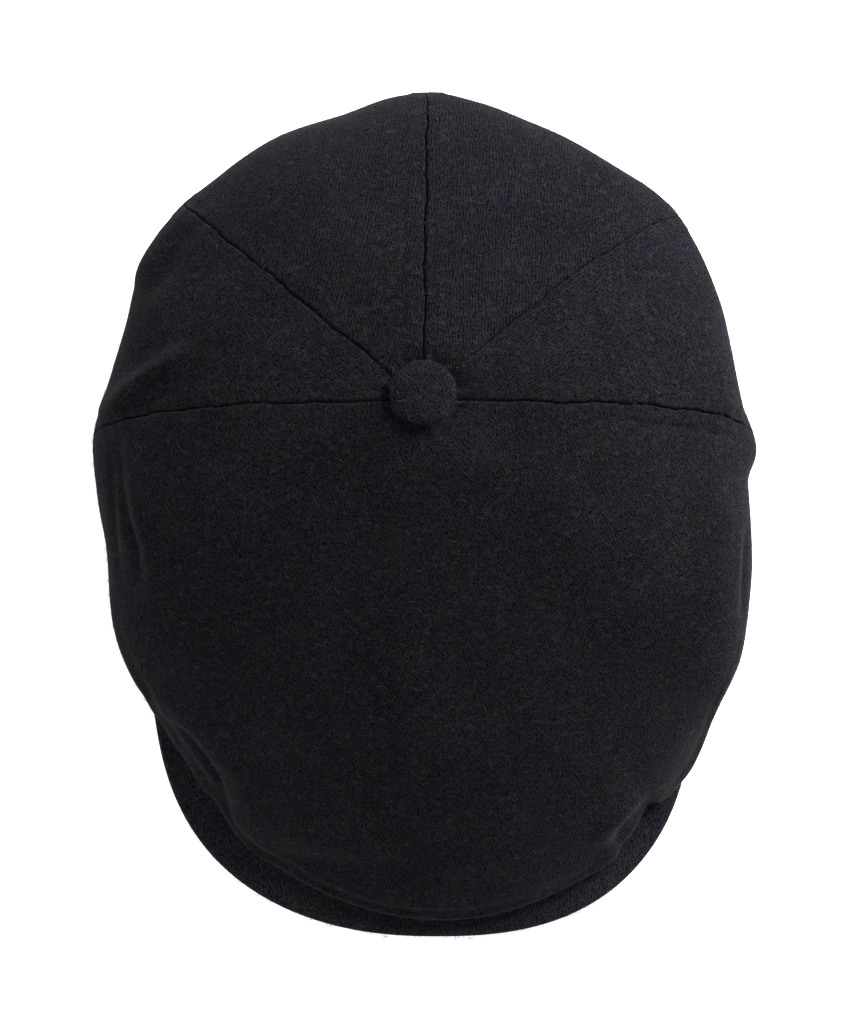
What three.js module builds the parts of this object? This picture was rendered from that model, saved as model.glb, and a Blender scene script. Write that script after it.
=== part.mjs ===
// Hunting cap: a flat cap of wool twill that rests on its rim and on the corners of its peak.
// Millimetres, +Z up. The peak points to -Y. Left is -X, as it is seen from above.
import * as THREE from 'three';

// Crown, measured at its widest line and at the point where the panels meet
const crownWidth = 222;
const crownLength = 280;
const crownMiddleY = 2.6;
const meetingX = -1.2;
const meetingY = 36.8;
const crownHeight = 100;
const clothWall = 2;
const seamGap = 0.36;
const seamSink = 1.0;
const seamSinkWidth = 22;
const foldDepth = 3;
const frontRoll = 4.2;
const frontTuck = 12;
// Share of the tuck over which the front edge rolls under
const frontLip = 0.3;
// Shares of the side's height that hang upright at the widest line and at the rim
const sideUpright = 0.55;
const rimUpright = 0.25;
// How close the waves of the outline keep to it
const waveHold = 8;
// Along the crown: where a seam's ditch is full beside the button, where it and the folds fade below
const ditchFull = 0.2;
const ditchFades = 1.3;
const ditchEnds = 1.9;
const foldsEnd = 1.3;

// Head opening, inside the band
const openingWidth = 164;
const openingLength = 200;
const openingMiddleY = 19;
const bandWall = 2;
const bandHeight = 30;

// Peak
const peakWidth = 188;
const peakLength = 87.6;
const peakCornerY = -60;
const peakSquareness = 2.4;
const peakLean = 4.5;
const peakSkew = 2.5;
const peakWall = 4;
const peakArch = 13;
const peakSlope = 0.03;
const peakFoot = -0.12;
const peakEdgeRound = 1.3;
const leanSharpness = 4;
const wingY = -29;
const wingEndWidth = 6.5;
const wingCorner = 80;
const rimHeelY = 25;
const rimHoldBehind = 9;

// Button
const buttonWidth = 22;
const buttonRise = 5.2;
const buttonOffset = 2.7;
const buttonTilt = 4;
const stemWidth = 5;
const stemLength = 4.5;
const stemClearance = 0.7;

// Gap between pieces that lie on each other
const pieceGap = 0.3;

// Steps of the faceted solids
const alongTop = [0, 0.08, 0.18, 0.28, 0.38, 0.48, 0.58, 0.68, 0.77, 0.85, 0.92, 1];
const alongUnder = [1.12, 1.26, 1.4, 1.54, 1.68, 1.84, 2];
const frontSteps = 64;
const rearSteps = 13;
const bandSteps = 56;
const peakSteps = 40;
const peakRows = 5;
const peakRowCrowding = 1.5;
const outlineSteps = 80;
const outlineTurnStep = 2;
const buttonSteps = 20;

// Steps over which the crown's slope is measured, along it and in degrees
const slopeStep = 0.004;
const slopeTurn = 0.4;

// Outline of the crown from above: the direction from the meeting point in degrees, 90 being the back
// and 270 the peak, and the reach of the widest line as a share of the crown's ellipse
const outlineSections = [
  { turn: 0, reach: 1.007 },
  { turn: 10, reach: 1.01 },
  { turn: 20, reach: 1.03 },
  { turn: 31, reach: 1.052 },
  { turn: 40, reach: 1.049 },
  { turn: 50, reach: 1.006 },
  { turn: 60, reach: 0.981 },
  { turn: 70, reach: 0.971 },
  { turn: 80, reach: 0.988 },
  { turn: 87, reach: 1.005 },
  { turn: 95, reach: 0.996 },
  { turn: 106, reach: 0.969 },
  { turn: 120, reach: 0.999 },
  { turn: 132, reach: 1.028 },
  { turn: 140, reach: 1.056 },
  { turn: 148, reach: 1.057 },
  { turn: 156, reach: 1.048 },
  { turn: 165, reach: 1.021 },
  { turn: 175, reach: 1.022 },
  { turn: 186, reach: 1.04 },
  { turn: 196, reach: 1.013 },
  { turn: 205, reach: 0.99 },
  { turn: 216, reach: 1.008 },
  { turn: 223, reach: 1.004 },
  { turn: 229, reach: 0.989 },
  { turn: 237, reach: 0.987 },
  { turn: 242, reach: 0.989 },
  { turn: 247, reach: 1.01 },
  { turn: 256, reach: 1.011 },
  { turn: 265, reach: 1.017 },
  { turn: 275, reach: 1.028 },
  { turn: 285, reach: 1.036 },
  { turn: 290, reach: 1.043 },
  { turn: 295, reach: 1.037 },
  { turn: 297.5, reach: 1.026 },
  { turn: 299.5, reach: 1.012 },
  { turn: 302, reach: 1.032 },
  { turn: 304, reach: 1.046 },
  { turn: 307, reach: 1.05 },
  { turn: 314, reach: 1.03 },
  { turn: 322, reach: 1.039 },
  { turn: 331, reach: 1.017 },
  { turn: 346, reach: 0.993 },
  { turn: 352, reach: 1.03 },
];

// Side view of the crown in a few directions, without its small waves. reach is a share of the crown's
// ellipse, lift the height of the widest line and round the height of the side's upper curve as shares
// of the crown's height, flat the length of the nearly level top as a share of the reach, and drop its
// slope in degrees.
const profileSections = [
  { turn: 0, reach: 1.02, lift: 0.5, round: 0.42, flat: 0.66, drop: 5.5 },
  { turn: 45, reach: 1.02, lift: 0.56, round: 0.38, flat: 0.6, drop: 5.5 },
  { turn: 90, reach: 0.985, lift: 0.58, round: 0.36, flat: 0.57, drop: 6 },
  { turn: 135, reach: 1.02, lift: 0.56, round: 0.38, flat: 0.6, drop: 5.5 },
  { turn: 180, reach: 1.03, lift: 0.5, round: 0.42, flat: 0.66, drop: 5.5 },
  { turn: 215, reach: 1.005, lift: 0.37, round: 0.38, flat: 0.62, drop: 8 },
  { turn: 240, reach: 0.99, lift: 0.21, round: 0.22, flat: 0.56, drop: 11 },
  { turn: 270, reach: 1.012, lift: 0.19, round: 0.21, flat: 0.54, drop: 12.5 },
  { turn: 300, reach: 1.035, lift: 0.21, round: 0.22, flat: 0.56, drop: 11 },
  { turn: 325, reach: 1.03, lift: 0.37, round: 0.38, flat: 0.62, drop: 8 },
];

// Where the crown's lower edge passes from the rim to the peak's top, in degrees from the front
const tuckStart = 48;
const tuckEnd = 34;

// Button above its seat: radius as a share of half its width and height as a share of its rise
const buttonRings = [
  { radius: 0.9, height: 0 },
  { radius: 1, height: 0.16 },
  { radius: 1, height: 0.38 },
  { radius: 0.9, height: 0.68 },
  { radius: 0.68, height: 0.88 },
  { radius: 0.36, height: 0.98 },
];

// Seams: the direction beside the button in degrees, and how far it has turned at the widest line
const seams = {
  crossRight: { turn: 0, bend: -5, curve: 2 },
  diagonalRight: { turn: 43, bend: -7, curve: 1 },
  centreBack: { turn: 89.2, bend: 0, curve: 1 },
  diagonalLeft: { turn: 140.3, bend: 0, curve: 1 },
  crossLeft: { turn: 180.6, bend: 5, curve: 2 },
};

// Folds and dents of the top: their two ends and their width as shares of half the crown's width
// and length, and their depth as a share of foldDepth, raised where it is positive
const folds = [
  { x0: -0.84, y0: -0.47, x1: -0.69, y1: -0.56, width: 0.06, depth: 0.6 },
  { x0: -0.67, y0: -0.59, x1: -0.59, y1: -0.77, width: 0.06, depth: 0.6 },
  { x0: -0.77, y0: -0.56, x1: -0.65, y1: -0.71, width: 0.045, depth: -0.8 },
  { x0: -0.52, y0: -0.8, x1: -0.2, y1: -0.85, width: 0.07, depth: 0.35 },
  { x0: -0.44, y0: -0.89, x1: 0, y1: -0.91, width: 0.06, depth: -0.3 },
  { x0: 0.74, y0: -0.7, x1: 0.61, y1: -0.74, width: 0.05, depth: 0.7 },
  { x0: 0.59, y0: -0.76, x1: 0.55, y1: -0.82, width: 0.05, depth: 0.6 },
  { x0: 0.65, y0: -0.75, x1: 0.59, y1: -0.83, width: 0.045, depth: -1 },
  { x0: 0.2, y0: 0.3, x1: 0.2, y1: 0.1, width: 0.12, depth: -0.4 },
  { x0: -0.97, y0: 0.22, x1: -0.82, y1: 0.31, width: 0.07, depth: 0.4 },
  { x0: -0.92, y0: 0, x1: -0.88, y1: -0.24, width: 0.08, depth: 0.35 },
];

const radians = THREE.MathUtils.degToRad;
const lerp = THREE.MathUtils.lerp;
const smoothstep = THREE.MathUtils.smoothstep;

// Value of a column in a table of directions that runs round the full circle
function around(rows, column, degrees) {
  const turn = ((degrees % 360) + 360) % 360;
  const count = rows.length;
  let low = rows.findLastIndex((row) => row.turn <= turn);
  if (low < 0) low = count - 1;
  const at = (offset) => {
    const index = low + offset;
    const lap = Math.floor(index / count);
    const row = rows[index - lap * count];
    return { turn: row.turn + 360 * lap, value: row[column] };
  };
  const [a, b, c, d] = [at(-1), at(0), at(1), at(2)];
  const span = c.turn - b.turn;
  const share = (turn - b.turn) / span;
  const slopeB = ((c.value - a.value) / (c.turn - a.turn)) * span;
  const slopeC = ((d.value - b.value) / (d.turn - b.turn)) * span;
  return (
    b.value +
    share * slopeB +
    share ** 2 * (3 * (c.value - b.value) - 2 * slopeB - slopeC) +
    share ** 3 * (2 * (b.value - c.value) + slopeB + slopeC)
  );
}

// Distance from the meeting point to an ellipse round it, along one direction
function ellipseReach(degrees, halfX, halfY, middleY) {
  const cos = Math.cos(radians(degrees));
  const sin = Math.sin(radians(degrees));
  const dx = meetingX;
  const dy = meetingY - middleY;
  const a = (cos / halfX) ** 2 + (sin / halfY) ** 2;
  const b = 2 * ((dx * cos) / halfX ** 2 + (dy * sin) / halfY ** 2);
  const c = (dx / halfX) ** 2 + (dy / halfY) ** 2 - 1;
  return (-b + Math.sqrt(b * b - 4 * a * c)) / (2 * a);
}

// Underside and top of the peak over a point of the plan: arched across, sloping down to its tip
function peakUnder(x, y) {
  const arch = peakArch * (1 - ((x + peakSkew) / (peakWidth / 2)) ** 2);
  return peakFoot + arch + peakSlope * (y - peakCornerY);
}

function peakTop(x, y) {
  return peakUnder(x, y) + peakWall;
}

// Height of the crown's and the band's lower edge: on the peak in front, down to the surface behind it
function rimHeight(x, y) {
  const onPeak = smoothstep(-y, -rimHeelY, -wingY - rimHoldBehind);
  return onPeak * (peakTop(x, y) + pieceGap);
}

// Side view of the crown in one direction, as points of [reach, height]: the upper curve without waves,
// what the waves and the peak add to it at the widest line, and the lower curve
function profile(degrees) {
  const fromFront = Math.abs(((((degrees - 90) % 360) + 360) % 360) - 180);
  const tucked = 1 - smoothstep(fromFront, tuckEnd, tuckStart);
  const plan = (reach) => [
    meetingX + reach * Math.cos(radians(degrees)),
    meetingY + reach * Math.sin(radians(degrees)),
  ];
  const column = (name) => around(profileSections, name, degrees);

  const crownReach = ellipseReach(degrees, crownWidth / 2, crownLength / 2, crownMiddleY);
  const evenReach = column('reach') * crownReach;
  const evenLift = column('lift') * crownHeight;
  const flat = column('flat') * evenReach;
  const upper = [
    [stemWidth / 2 + stemClearance, crownHeight],
    [flat, crownHeight - flat * Math.tan(radians(column('drop')))],
    [evenReach, evenLift + column('round') * (crownHeight - evenLift)],
    [evenReach, evenLift],
  ];

  const reach = around(outlineSections, 'reach', degrees) * crownReach;
  const onPeak = peakTop(...plan(reach)) + pieceGap + frontRoll;
  const wide = lerp(evenLift, onPeak, tucked);
  const added = [reach - evenReach, wide - evenLift];

  const rimOut = bandWall + pieceGap + clothWall;
  const rimX = openingWidth / 2 + rimOut;
  const rimY = openingLength / 2 + rimOut;
  const rimReach = ellipseReach(degrees, rimX, rimY, openingMiddleY);
  const edgeReach = lerp(rimReach, reach - frontTuck, tucked);
  const edge = rimHeight(...plan(edgeReach));
  const lowReach = lerp(rimReach, reach - frontLip * frontTuck, tucked);
  const lowOnPeak = peakTop(...plan(lowReach)) + pieceGap;
  const low = lerp(edge + rimUpright * (wide - edge), lowOnPeak, tucked);
  const lower = [
    [reach, wide],
    [reach, wide - sideUpright * (wide - low)],
    [lowReach, low],
    [edgeReach, edge],
  ];
  return { upper, added, lower };
}

function bezier(points, share) {
  const rest = 1 - share;
  const weights = [rest ** 3, 3 * rest ** 2 * share, 3 * rest * share ** 2, share ** 3];
  return [0, 1].map((axis) => points.reduce((sum, point, i) => sum + weights[i] * point[axis], 0));
}

// Point of the smooth crown: along runs from 0 at the button to 1 at the widest line and 2 at the edge.
// The waves of the outline keep to the outer part of the top.
function smoothCrown(degrees, along) {
  const { upper, added, lower } = profile(degrees);
  let [reach, height] = bezier(along <= 1 ? upper : lower, along <= 1 ? along : along - 1);
  if (along <= 1) {
    const weight = along ** waveHold * (waveHold + 1 - waveHold * along);
    reach += weight * added[0];
    height += weight * added[1];
  }
  const turn = radians(degrees);
  return new THREE.Vector3(
    meetingX + reach * Math.cos(turn),
    meetingY + reach * Math.sin(turn),
    height,
  );
}

function crownNormal(degrees, along) {
  const ahead = smoothCrown(degrees, Math.min(along + slopeStep, 2));
  const behind = smoothCrown(degrees, Math.max(along - slopeStep, 0));
  const left = smoothCrown(degrees + slopeTurn, along);
  const right = smoothCrown(degrees - slopeTurn, along);
  return ahead.sub(behind).cross(left.sub(right)).normalize();
}

function seamTurn(seam, along) {
  return seam.turn + seam.bend * Math.min(along, 1) ** seam.curve;
}

// Height that the folds give to a point of the top, fading below the widest line
function foldLift(point, along) {
  const halfWidth = crownWidth / 2;
  const halfLength = crownLength / 2;
  const x = point.x / halfWidth;
  const y = (point.y - crownMiddleY) / halfLength;
  const stretch = halfLength / halfWidth;
  let lift = 0;
  for (const fold of folds) {
    const run = new THREE.Vector2(fold.x1 - fold.x0, (fold.y1 - fold.y0) * stretch);
    const from = new THREE.Vector2(x - fold.x0, (y - fold.y0) * stretch);
    const share = THREE.MathUtils.clamp(from.dot(run) / run.lengthSq(), 0, 1);
    const away = from.addScaledVector(run, -share).length() / fold.width;
    lift += fold.depth * Math.exp(-(away ** 2));
  }
  return lift * foldDepth * (1 - smoothstep(along, 1, foldsEnd));
}

// Outer and inner face of a panel at a share of its width between two seams
function panelPoint(from, to, share, along) {
  const start = seamTurn(from, along);
  const end = seamTurn(to, along) + (seamTurn(to, 0) < from.turn ? 360 : 0);
  const middle = smoothCrown(lerp(start, end, share), along);
  const reach = Math.hypot(middle.x - meetingX, middle.y - meetingY);
  const gap = THREE.MathUtils.radToDeg(seamGap / 2 / reach);
  const degrees = lerp(start + gap, end - gap, share);
  const point = smoothCrown(degrees, along);
  const normal = crownNormal(degrees, along);
  const fromSeam = radians(Math.min(degrees - start, end - degrees)) * reach;
  const sink = seamSink * Math.exp(-((fromSeam / seamSinkWidth) ** 2));
  const nearButton = smoothstep(along, 0, ditchFull);
  const nearEdge = 1 - smoothstep(along, ditchFades, ditchEnds);
  const lift = foldLift(point, along) - sink * nearButton * nearEdge;
  const outer = point.clone().addScaledVector(normal, lift);
  const inner = outer.clone().addScaledVector(normal, -clothWall);
  if (along === 2) inner.z = Math.max(inner.z, rimHeight(inner.x, inner.y));
  return { outer, inner };
}

// Closed solid between two grids of points. Rows run along, columns across, and the outer grid's
// faces point away from the inner grid.
function wallSolid(outer, inner, ring = false) {
  const rows = outer.length;
  const columns = outer[0].length;
  const positions = [];
  for (const grid of [outer, inner]) {
    for (const row of grid) for (const point of row) positions.push(point.x, point.y, point.z);
  }
  const at = (side, row, column) => side * rows * columns + row * columns + (column % columns);
  const faces = [];
  const quad = (a, b, c, d) => faces.push(a, b, c, a, c, d);
  const spans = ring ? columns : columns - 1;
  for (let j = 0; j < spans; j += 1) {
    for (let i = 0; i < rows - 1; i += 1) {
      quad(at(0, i, j), at(0, i + 1, j), at(0, i + 1, j + 1), at(0, i, j + 1));
      quad(at(1, i, j), at(1, i, j + 1), at(1, i + 1, j + 1), at(1, i + 1, j));
    }
    quad(at(0, 0, j), at(0, 0, j + 1), at(1, 0, j + 1), at(1, 0, j));
    quad(at(0, rows - 1, j), at(1, rows - 1, j), at(1, rows - 1, j + 1), at(0, rows - 1, j + 1));
  }
  for (let i = 0; i < rows - 1 && !ring; i += 1) {
    const last = columns - 1;
    quad(at(0, i, 0), at(1, i, 0), at(1, i + 1, 0), at(0, i + 1, 0));
    quad(at(0, i, last), at(0, i + 1, last), at(1, i + 1, last), at(1, i, last));
  }
  const geometry = new THREE.BufferGeometry();
  geometry.setAttribute('position', new THREE.Float32BufferAttribute(positions, 3));
  geometry.setIndex(faces);
  geometry.computeVertexNormals();
  return geometry;
}

function panelSolid(from, to, steps) {
  const outer = [];
  const inner = [];
  for (const along of [...alongTop, ...alongUnder]) {
    const row = [];
    for (let j = 0; j <= steps; j += 1) row.push(panelPoint(from, to, j / steps, along));
    outer.push(row.map((pair) => pair.outer));
    inner.push(row.map((pair) => pair.inner));
  }
  return wallSolid(outer, inner);
}

// Point of the head opening's edge, its angle counted from the front
function openingPoint(degrees, out) {
  return new THREE.Vector2(
    (openingWidth / 2 + out) * Math.sin(radians(degrees)),
    openingMiddleY - (openingLength / 2 + out) * Math.cos(radians(degrees)),
  );
}

// Inner and outer outline of the peak, from the left wing round the tip to the right wing
function peakOutlines() {
  const half = peakWidth / 2;
  const wingTurn = THREE.MathUtils.radToDeg(Math.acos((openingMiddleY - wingY) / (openingLength / 2)));
  const inner = [];
  for (let i = 0; i <= outlineSteps; i += 1) {
    inner.push(openingPoint(lerp(-wingTurn, wingTurn, i / outlineSteps), 0));
  }
  const wingX = openingPoint(wingTurn, 0).x + wingEndWidth;
  const outer = [];
  for (let turn = -90 - wingCorner; turn <= 90 + wingCorner; turn += outlineTurnStep) {
    const side = Math.sign(turn);
    const past = radians(Math.abs(turn) - 90);
    if (past > 0) {
      const x = side * (wingX + (half - wingX) * Math.cos(past)) - peakSkew * Math.cos(past);
      outer.push(new THREE.Vector2(x, lerp(peakCornerY, wingY, Math.sin(past))));
    } else {
      const forward = Math.cos(radians(turn)) ** (2 / peakSquareness);
      const even = side * half * Math.abs(Math.sin(radians(turn))) ** (2 / peakSquareness);
      const lean = peakLean * forward ** leanSharpness - peakSkew * (1 - forward) ** leanSharpness;
      outer.push(new THREE.Vector2(even + lean, peakCornerY - peakLength * forward));
    }
  }
  return [inner, outer].map((points) => new THREE.SplineCurve(points));
}

function peakSolid() {
  const [inner, outer] = peakOutlines().map((curve) => curve.getSpacedPoints(peakSteps));
  const top = [];
  const under = [];
  for (let i = 0; i <= peakRows; i += 1) {
    const share = 1 - (1 - i / peakRows) ** peakRowCrowding;
    const round = i === peakRows ? peakEdgeRound : 0;
    const row = inner.map((point, j) => point.clone().lerp(outer[j], share));
    top.push(row.map(({ x, y }) => new THREE.Vector3(x, y, peakTop(x, y) - round)));
    under.push(row.map(({ x, y }) => new THREE.Vector3(x, y, peakUnder(x, y) + round)));
  }
  return wallSolid(top, under);
}

// Band round the head opening, standing on the same line as the crown's edge
function bandSolid() {
  const wall = (out, up) => {
    const row = [];
    for (let j = 0; j < bandSteps; j += 1) {
      const { x, y } = openingPoint(180 + (360 * j) / bandSteps, out);
      row.push(new THREE.Vector3(x, y, rimHeight(x, y) + up));
    }
    return row;
  };
  const rises = [bandHeight, bandHeight / 2, 0];
  return wallSolid(rises.map((up) => wall(bandWall, up)), rises.map((up) => wall(0, up)), true);
}

// Covered button with its stem: rings of a share of the width, a height and a share of the offset
function buttonSolid() {
  const half = buttonWidth / 2;
  const stem = stemWidth / 2;
  const seat = crownHeight + pieceGap;
  const fall = Math.tan(radians(buttonTilt));
  const rings = [
    { radius: stem, height: seat - stemLength, offset: 0 },
    { radius: stem, height: seat, offset: 0 },
    ...buttonRings.map(({ radius, height }) => ({
      radius: radius * half,
      height: seat + height * buttonRise,
      offset: 1,
    })),
  ];
  const positions = [];
  const faces = [];
  for (const { radius, height, offset } of rings) {
    for (let j = 0; j < buttonSteps; j += 1) {
      const turn = (2 * Math.PI * j) / buttonSteps;
      const back = radius * Math.sin(turn) + offset * buttonOffset;
      const lean = offset * fall * back;
      positions.push(meetingX + radius * Math.cos(turn), meetingY + back, height - lean);
    }
  }
  const lowest = rings.length * buttonSteps;
  const lastRing = lowest - buttonSteps;
  const highest = seat + buttonRise - fall * buttonOffset;
  positions.push(meetingX, meetingY, seat - stemLength);
  positions.push(meetingX, meetingY + buttonOffset, highest);
  for (let j = 0; j < buttonSteps; j += 1) {
    const next = (j + 1) % buttonSteps;
    faces.push(lowest, next, j);
    faces.push(lowest + 1, lastRing + j, lastRing + next);
    for (let i = 0; i < rings.length - 1; i += 1) {
      const low = i * buttonSteps;
      const high = low + buttonSteps;
      faces.push(low + j, low + next, high + next, low + j, high + next, high + j);
    }
  }
  const geometry = new THREE.BufferGeometry();
  geometry.setAttribute('position', new THREE.Float32BufferAttribute(positions, 3));
  geometry.setIndex(faces);
  geometry.computeVertexNormals();
  return geometry;
}

function piece(name, geometry, color, roughness) {
  const material = new THREE.MeshStandardMaterial({ color, roughness, metalness: 0 });
  const mesh = new THREE.Mesh(geometry, material);
  mesh.name = name;
  return mesh;
}

const wool = 0x232226;
const woolRoughness = 0.95;
const { crossRight, diagonalRight, centreBack, diagonalLeft, crossLeft } = seams;

const cap = new THREE.Group();
cap.add(
  piece('front_panel', panelSolid(crossLeft, crossRight, frontSteps), wool, woolRoughness),
  piece('side_panel_right', panelSolid(crossRight, diagonalRight, rearSteps), wool, woolRoughness),
  piece('rear_panel_right', panelSolid(diagonalRight, centreBack, rearSteps), wool, woolRoughness),
  piece('rear_panel_left', panelSolid(centreBack, diagonalLeft, rearSteps), wool, woolRoughness),
  piece('side_panel_left', panelSolid(diagonalLeft, crossLeft, rearSteps), wool, woolRoughness),
  piece('peak', peakSolid(), wool, woolRoughness),
  piece('button', buttonSolid(), wool, woolRoughness),
  piece('head_band', bandSolid(), 0x1d1c1f, 0.9),
);

// The origin is the middle of the cap's box, on the surface that it rests on
const box = new THREE.Box3().setFromObject(cap);
const middle = box.getCenter(new THREE.Vector3());
cap.position.set(-middle.x, -middle.y, -box.min.z);

export default cap;
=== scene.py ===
"""Hunting cap of dark wool twill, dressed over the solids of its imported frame.

All sizes are in metres and in the frame's own coordinates, +Z up. The peak points to -Y, and left is
-X, as the cap is seen from above. A turn is a direction round the point where the panels meet, in
degrees: 90 is the back and 270 the peak. Along runs from 0 beside the button over 1 at the crown's
widest line to 2 at its lower edge.
"""
from collections import namedtuple

import bpy
import numpy as np
from bpy.props import FloatProperty, FloatVectorProperty, IntProperty, PointerProperty
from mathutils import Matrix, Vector


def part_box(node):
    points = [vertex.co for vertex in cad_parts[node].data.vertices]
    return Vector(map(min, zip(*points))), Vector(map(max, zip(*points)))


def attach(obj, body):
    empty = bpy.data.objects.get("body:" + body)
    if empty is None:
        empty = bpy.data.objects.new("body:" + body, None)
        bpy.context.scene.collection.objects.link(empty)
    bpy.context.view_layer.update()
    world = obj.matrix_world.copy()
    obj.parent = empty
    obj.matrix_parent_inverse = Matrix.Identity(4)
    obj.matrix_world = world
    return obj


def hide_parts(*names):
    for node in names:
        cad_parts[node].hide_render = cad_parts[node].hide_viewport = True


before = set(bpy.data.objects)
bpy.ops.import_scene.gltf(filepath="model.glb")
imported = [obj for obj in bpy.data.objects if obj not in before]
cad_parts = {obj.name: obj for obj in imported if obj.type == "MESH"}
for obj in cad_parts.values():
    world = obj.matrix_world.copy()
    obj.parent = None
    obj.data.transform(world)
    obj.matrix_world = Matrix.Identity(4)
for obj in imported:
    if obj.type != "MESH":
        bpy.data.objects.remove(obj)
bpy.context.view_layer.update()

bl_info = {
    "name": "Hunting Cap",
    "version": (1, 0, 0),
    "blender": (4, 5, 0),
    "location": "3D View > Sidebar > Cap",
    "description": "Builds a wool hunting cap over its packed frame",
    "category": "Add Mesh",
}

MM = 0.001

# Crown, repeated from the part's source
CROWN_WIDTH = 222 * MM
CROWN_LENGTH = 280 * MM
CROWN_HEIGHT = 100 * MM
CLOTH_WALL = 2 * MM
SEAM_SINK = 1.0 * MM
SEAM_SINK_WIDTH = 22 * MM
FRONT_ROLL = 4.2 * MM
FRONT_TUCK = 12 * MM
LOW_TUCK_SHARE = 0.3
SIDE_UPRIGHT = 0.55
RIM_UPRIGHT = 0.25
WAVE_HOLD = 8
TUCK_START = 48
TUCK_END = 34
DITCH_FULL = 0.2
DITCH_FADES = 1.3
DITCH_ENDS = 1.9
OPENING_WIDTH = 164 * MM
OPENING_LENGTH = 200 * MM
BAND_WALL = 2 * MM
BAND_HEIGHT = 30 * MM
PIECE_GAP = 0.3 * MM

# Peak
PEAK_WIDTH = 188 * MM
PEAK_LENGTH = 87.6 * MM
PEAK_SQUARENESS = 2.4
LEAN_SHARPNESS = 4
PEAK_LEAN = 4.5 * MM
PEAK_SKEW = 2.5 * MM
PEAK_WALL = 4 * MM
PEAK_ARCH = 13 * MM
PEAK_SLOPE = 0.03
PEAK_FOOT = -0.12 * MM
WING_END_WIDTH = 6.5 * MM
WING_CORNER = 80

# Button
BUTTON_WIDTH = 22 * MM
BUTTON_RISE = 5.2 * MM
BUTTON_OFFSET = 2.7 * MM
BUTTON_TILT = 4
STEM_WIDTH = 5 * MM
STEM_CLEARANCE = 0.7 * MM

# Height of the button's widest part as a share of its rise, and how much shorter it is than wide
BUTTON_EDGE = 0.36
BUTTON_SHORTER = 0.97

# Rows of points over the peak's top, round its edge and under it; its waves; and the place and width,
# in degrees round the edge, of the seam that closes its cloth
PEAK_TOP_ROWS = 56
PEAK_EDGE_ROWS = 13
PEAK_UNDER_ROWS = 34
PEAK_WAVE = 42 * MM
PEAK_WAVE_HEIGHT = 0.22 * MM
PEAK_SEAM_TURN = -48
PEAK_SEAM_WIDTH = 9

# Places in plan, all counted from the middle of the head opening, which the frame gives
BAND_LOW, BAND_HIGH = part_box("head_band")
OPENING = np.array([(BAND_LOW.x + BAND_HIGH.x) / 2, (BAND_LOW.y + BAND_HIGH.y) / 2])
SOURCE_MIDDLE = OPENING - [0, 19 * MM]
CROWN_MIDDLE = SOURCE_MIDDLE + [0, 2.6 * MM]
MEETING = SOURCE_MIDDLE + [-1.2 * MM, 36.8 * MM]
PEAK_CORNER_Y = SOURCE_MIDDLE[1] - 60 * MM
WING_Y = SOURCE_MIDDLE[1] - 29 * MM
RIM_HEEL_Y = SOURCE_MIDDLE[1] + 25 * MM
RIM_HOLD_BEHIND = 9 * MM

# Outline from above: the reach of the widest line as a share of the crown's ellipse
OUTLINE = np.array(
    [
        (0, 1.007), (10, 1.01), (20, 1.03), (31, 1.052), (40, 1.049), (50, 1.006),
        (60, 0.981), (70, 0.971), (80, 0.988), (87, 1.005), (95, 0.996), (106, 0.969),
        (120, 0.999), (132, 1.028), (140, 1.056), (148, 1.057), (156, 1.048), (165, 1.021),
        (175, 1.022), (186, 1.04), (196, 1.013), (205, 0.99), (216, 1.008), (223, 1.004),
        (229, 0.989), (237, 0.986), (242, 0.989), (247, 1.01), (256, 1.011), (265, 1.017),
        (275, 1.028), (285, 1.036), (290, 1.043), (295, 1.037), (297.5, 1.026), (299.5, 1.012),
        (302, 1.032), (304, 1.046), (307, 1.05), (314, 1.03), (322, 1.039), (331, 1.017),
        (346, 0.993), (352, 1.03),
    ],
    dtype=[("turn", float), ("reach", float)],
)

# Side view: reach is a share of the ellipse, lift and round are shares of the height, flat a share of
# the reach, and drop is in degrees
PROFILES = np.array(
    [
        (0, 1.02, 0.5, 0.42, 0.66, 5.5),
        (45, 1.02, 0.56, 0.38, 0.6, 5.5),
        (90, 0.985, 0.58, 0.36, 0.57, 6),
        (135, 1.02, 0.56, 0.38, 0.6, 5.5),
        (180, 1.03, 0.5, 0.42, 0.66, 5.5),
        (215, 1.005, 0.37, 0.38, 0.62, 8),
        (240, 0.99, 0.21, 0.22, 0.56, 11),
        (270, 1.012, 0.19, 0.21, 0.54, 12.5),
        (300, 1.035, 0.21, 0.22, 0.56, 11),
        (325, 1.03, 0.37, 0.38, 0.62, 8),
    ],
    dtype=[(name, float) for name in ("turn", "reach", "lift", "round", "flat", "drop")],
)

# Seams: the direction beside the button, how far it turns up to the widest line and on what curve, and
# how clearly the pressed allowance shows beside it
Seam = namedtuple("Seam", "turn bend curve pressed")
SEAMS = {
    "cross_right": Seam(0, -5, 2, 0.5),
    "diagonal_right": Seam(43, -7, 1, 0.6),
    "centre_back": Seam(89.2, 0, 1, 1.0),
    "diagonal_left": Seam(140.3, 0, 1, 0.5),
    "cross_left": Seam(180.6, 5, 2, 0.4),
}

# Panels: the seams on their two sides, the steps between the close ones along the seams, the direction
# in plan of the twill's ribs, in degrees, and how strongly the ribs show, in relief and in painted shade
Panel = namedtuple("Panel", "first last steps grain ribs")
PANELS = {
    "front_panel": Panel("cross_left", "cross_right", 350, 122, 0.22),
    "side_panel_right": Panel("cross_right", "diagonal_right", 64, 36, 0.25),
    "rear_panel_right": Panel("diagonal_right", "centre_back", 64, 88, 0.42),
    "rear_panel_left": Panel("centre_back", "diagonal_left", 64, 78, 0.35),
    "side_panel_left": Panel("diagonal_left", "cross_left", 64, 140, 0.22),
}

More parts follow.
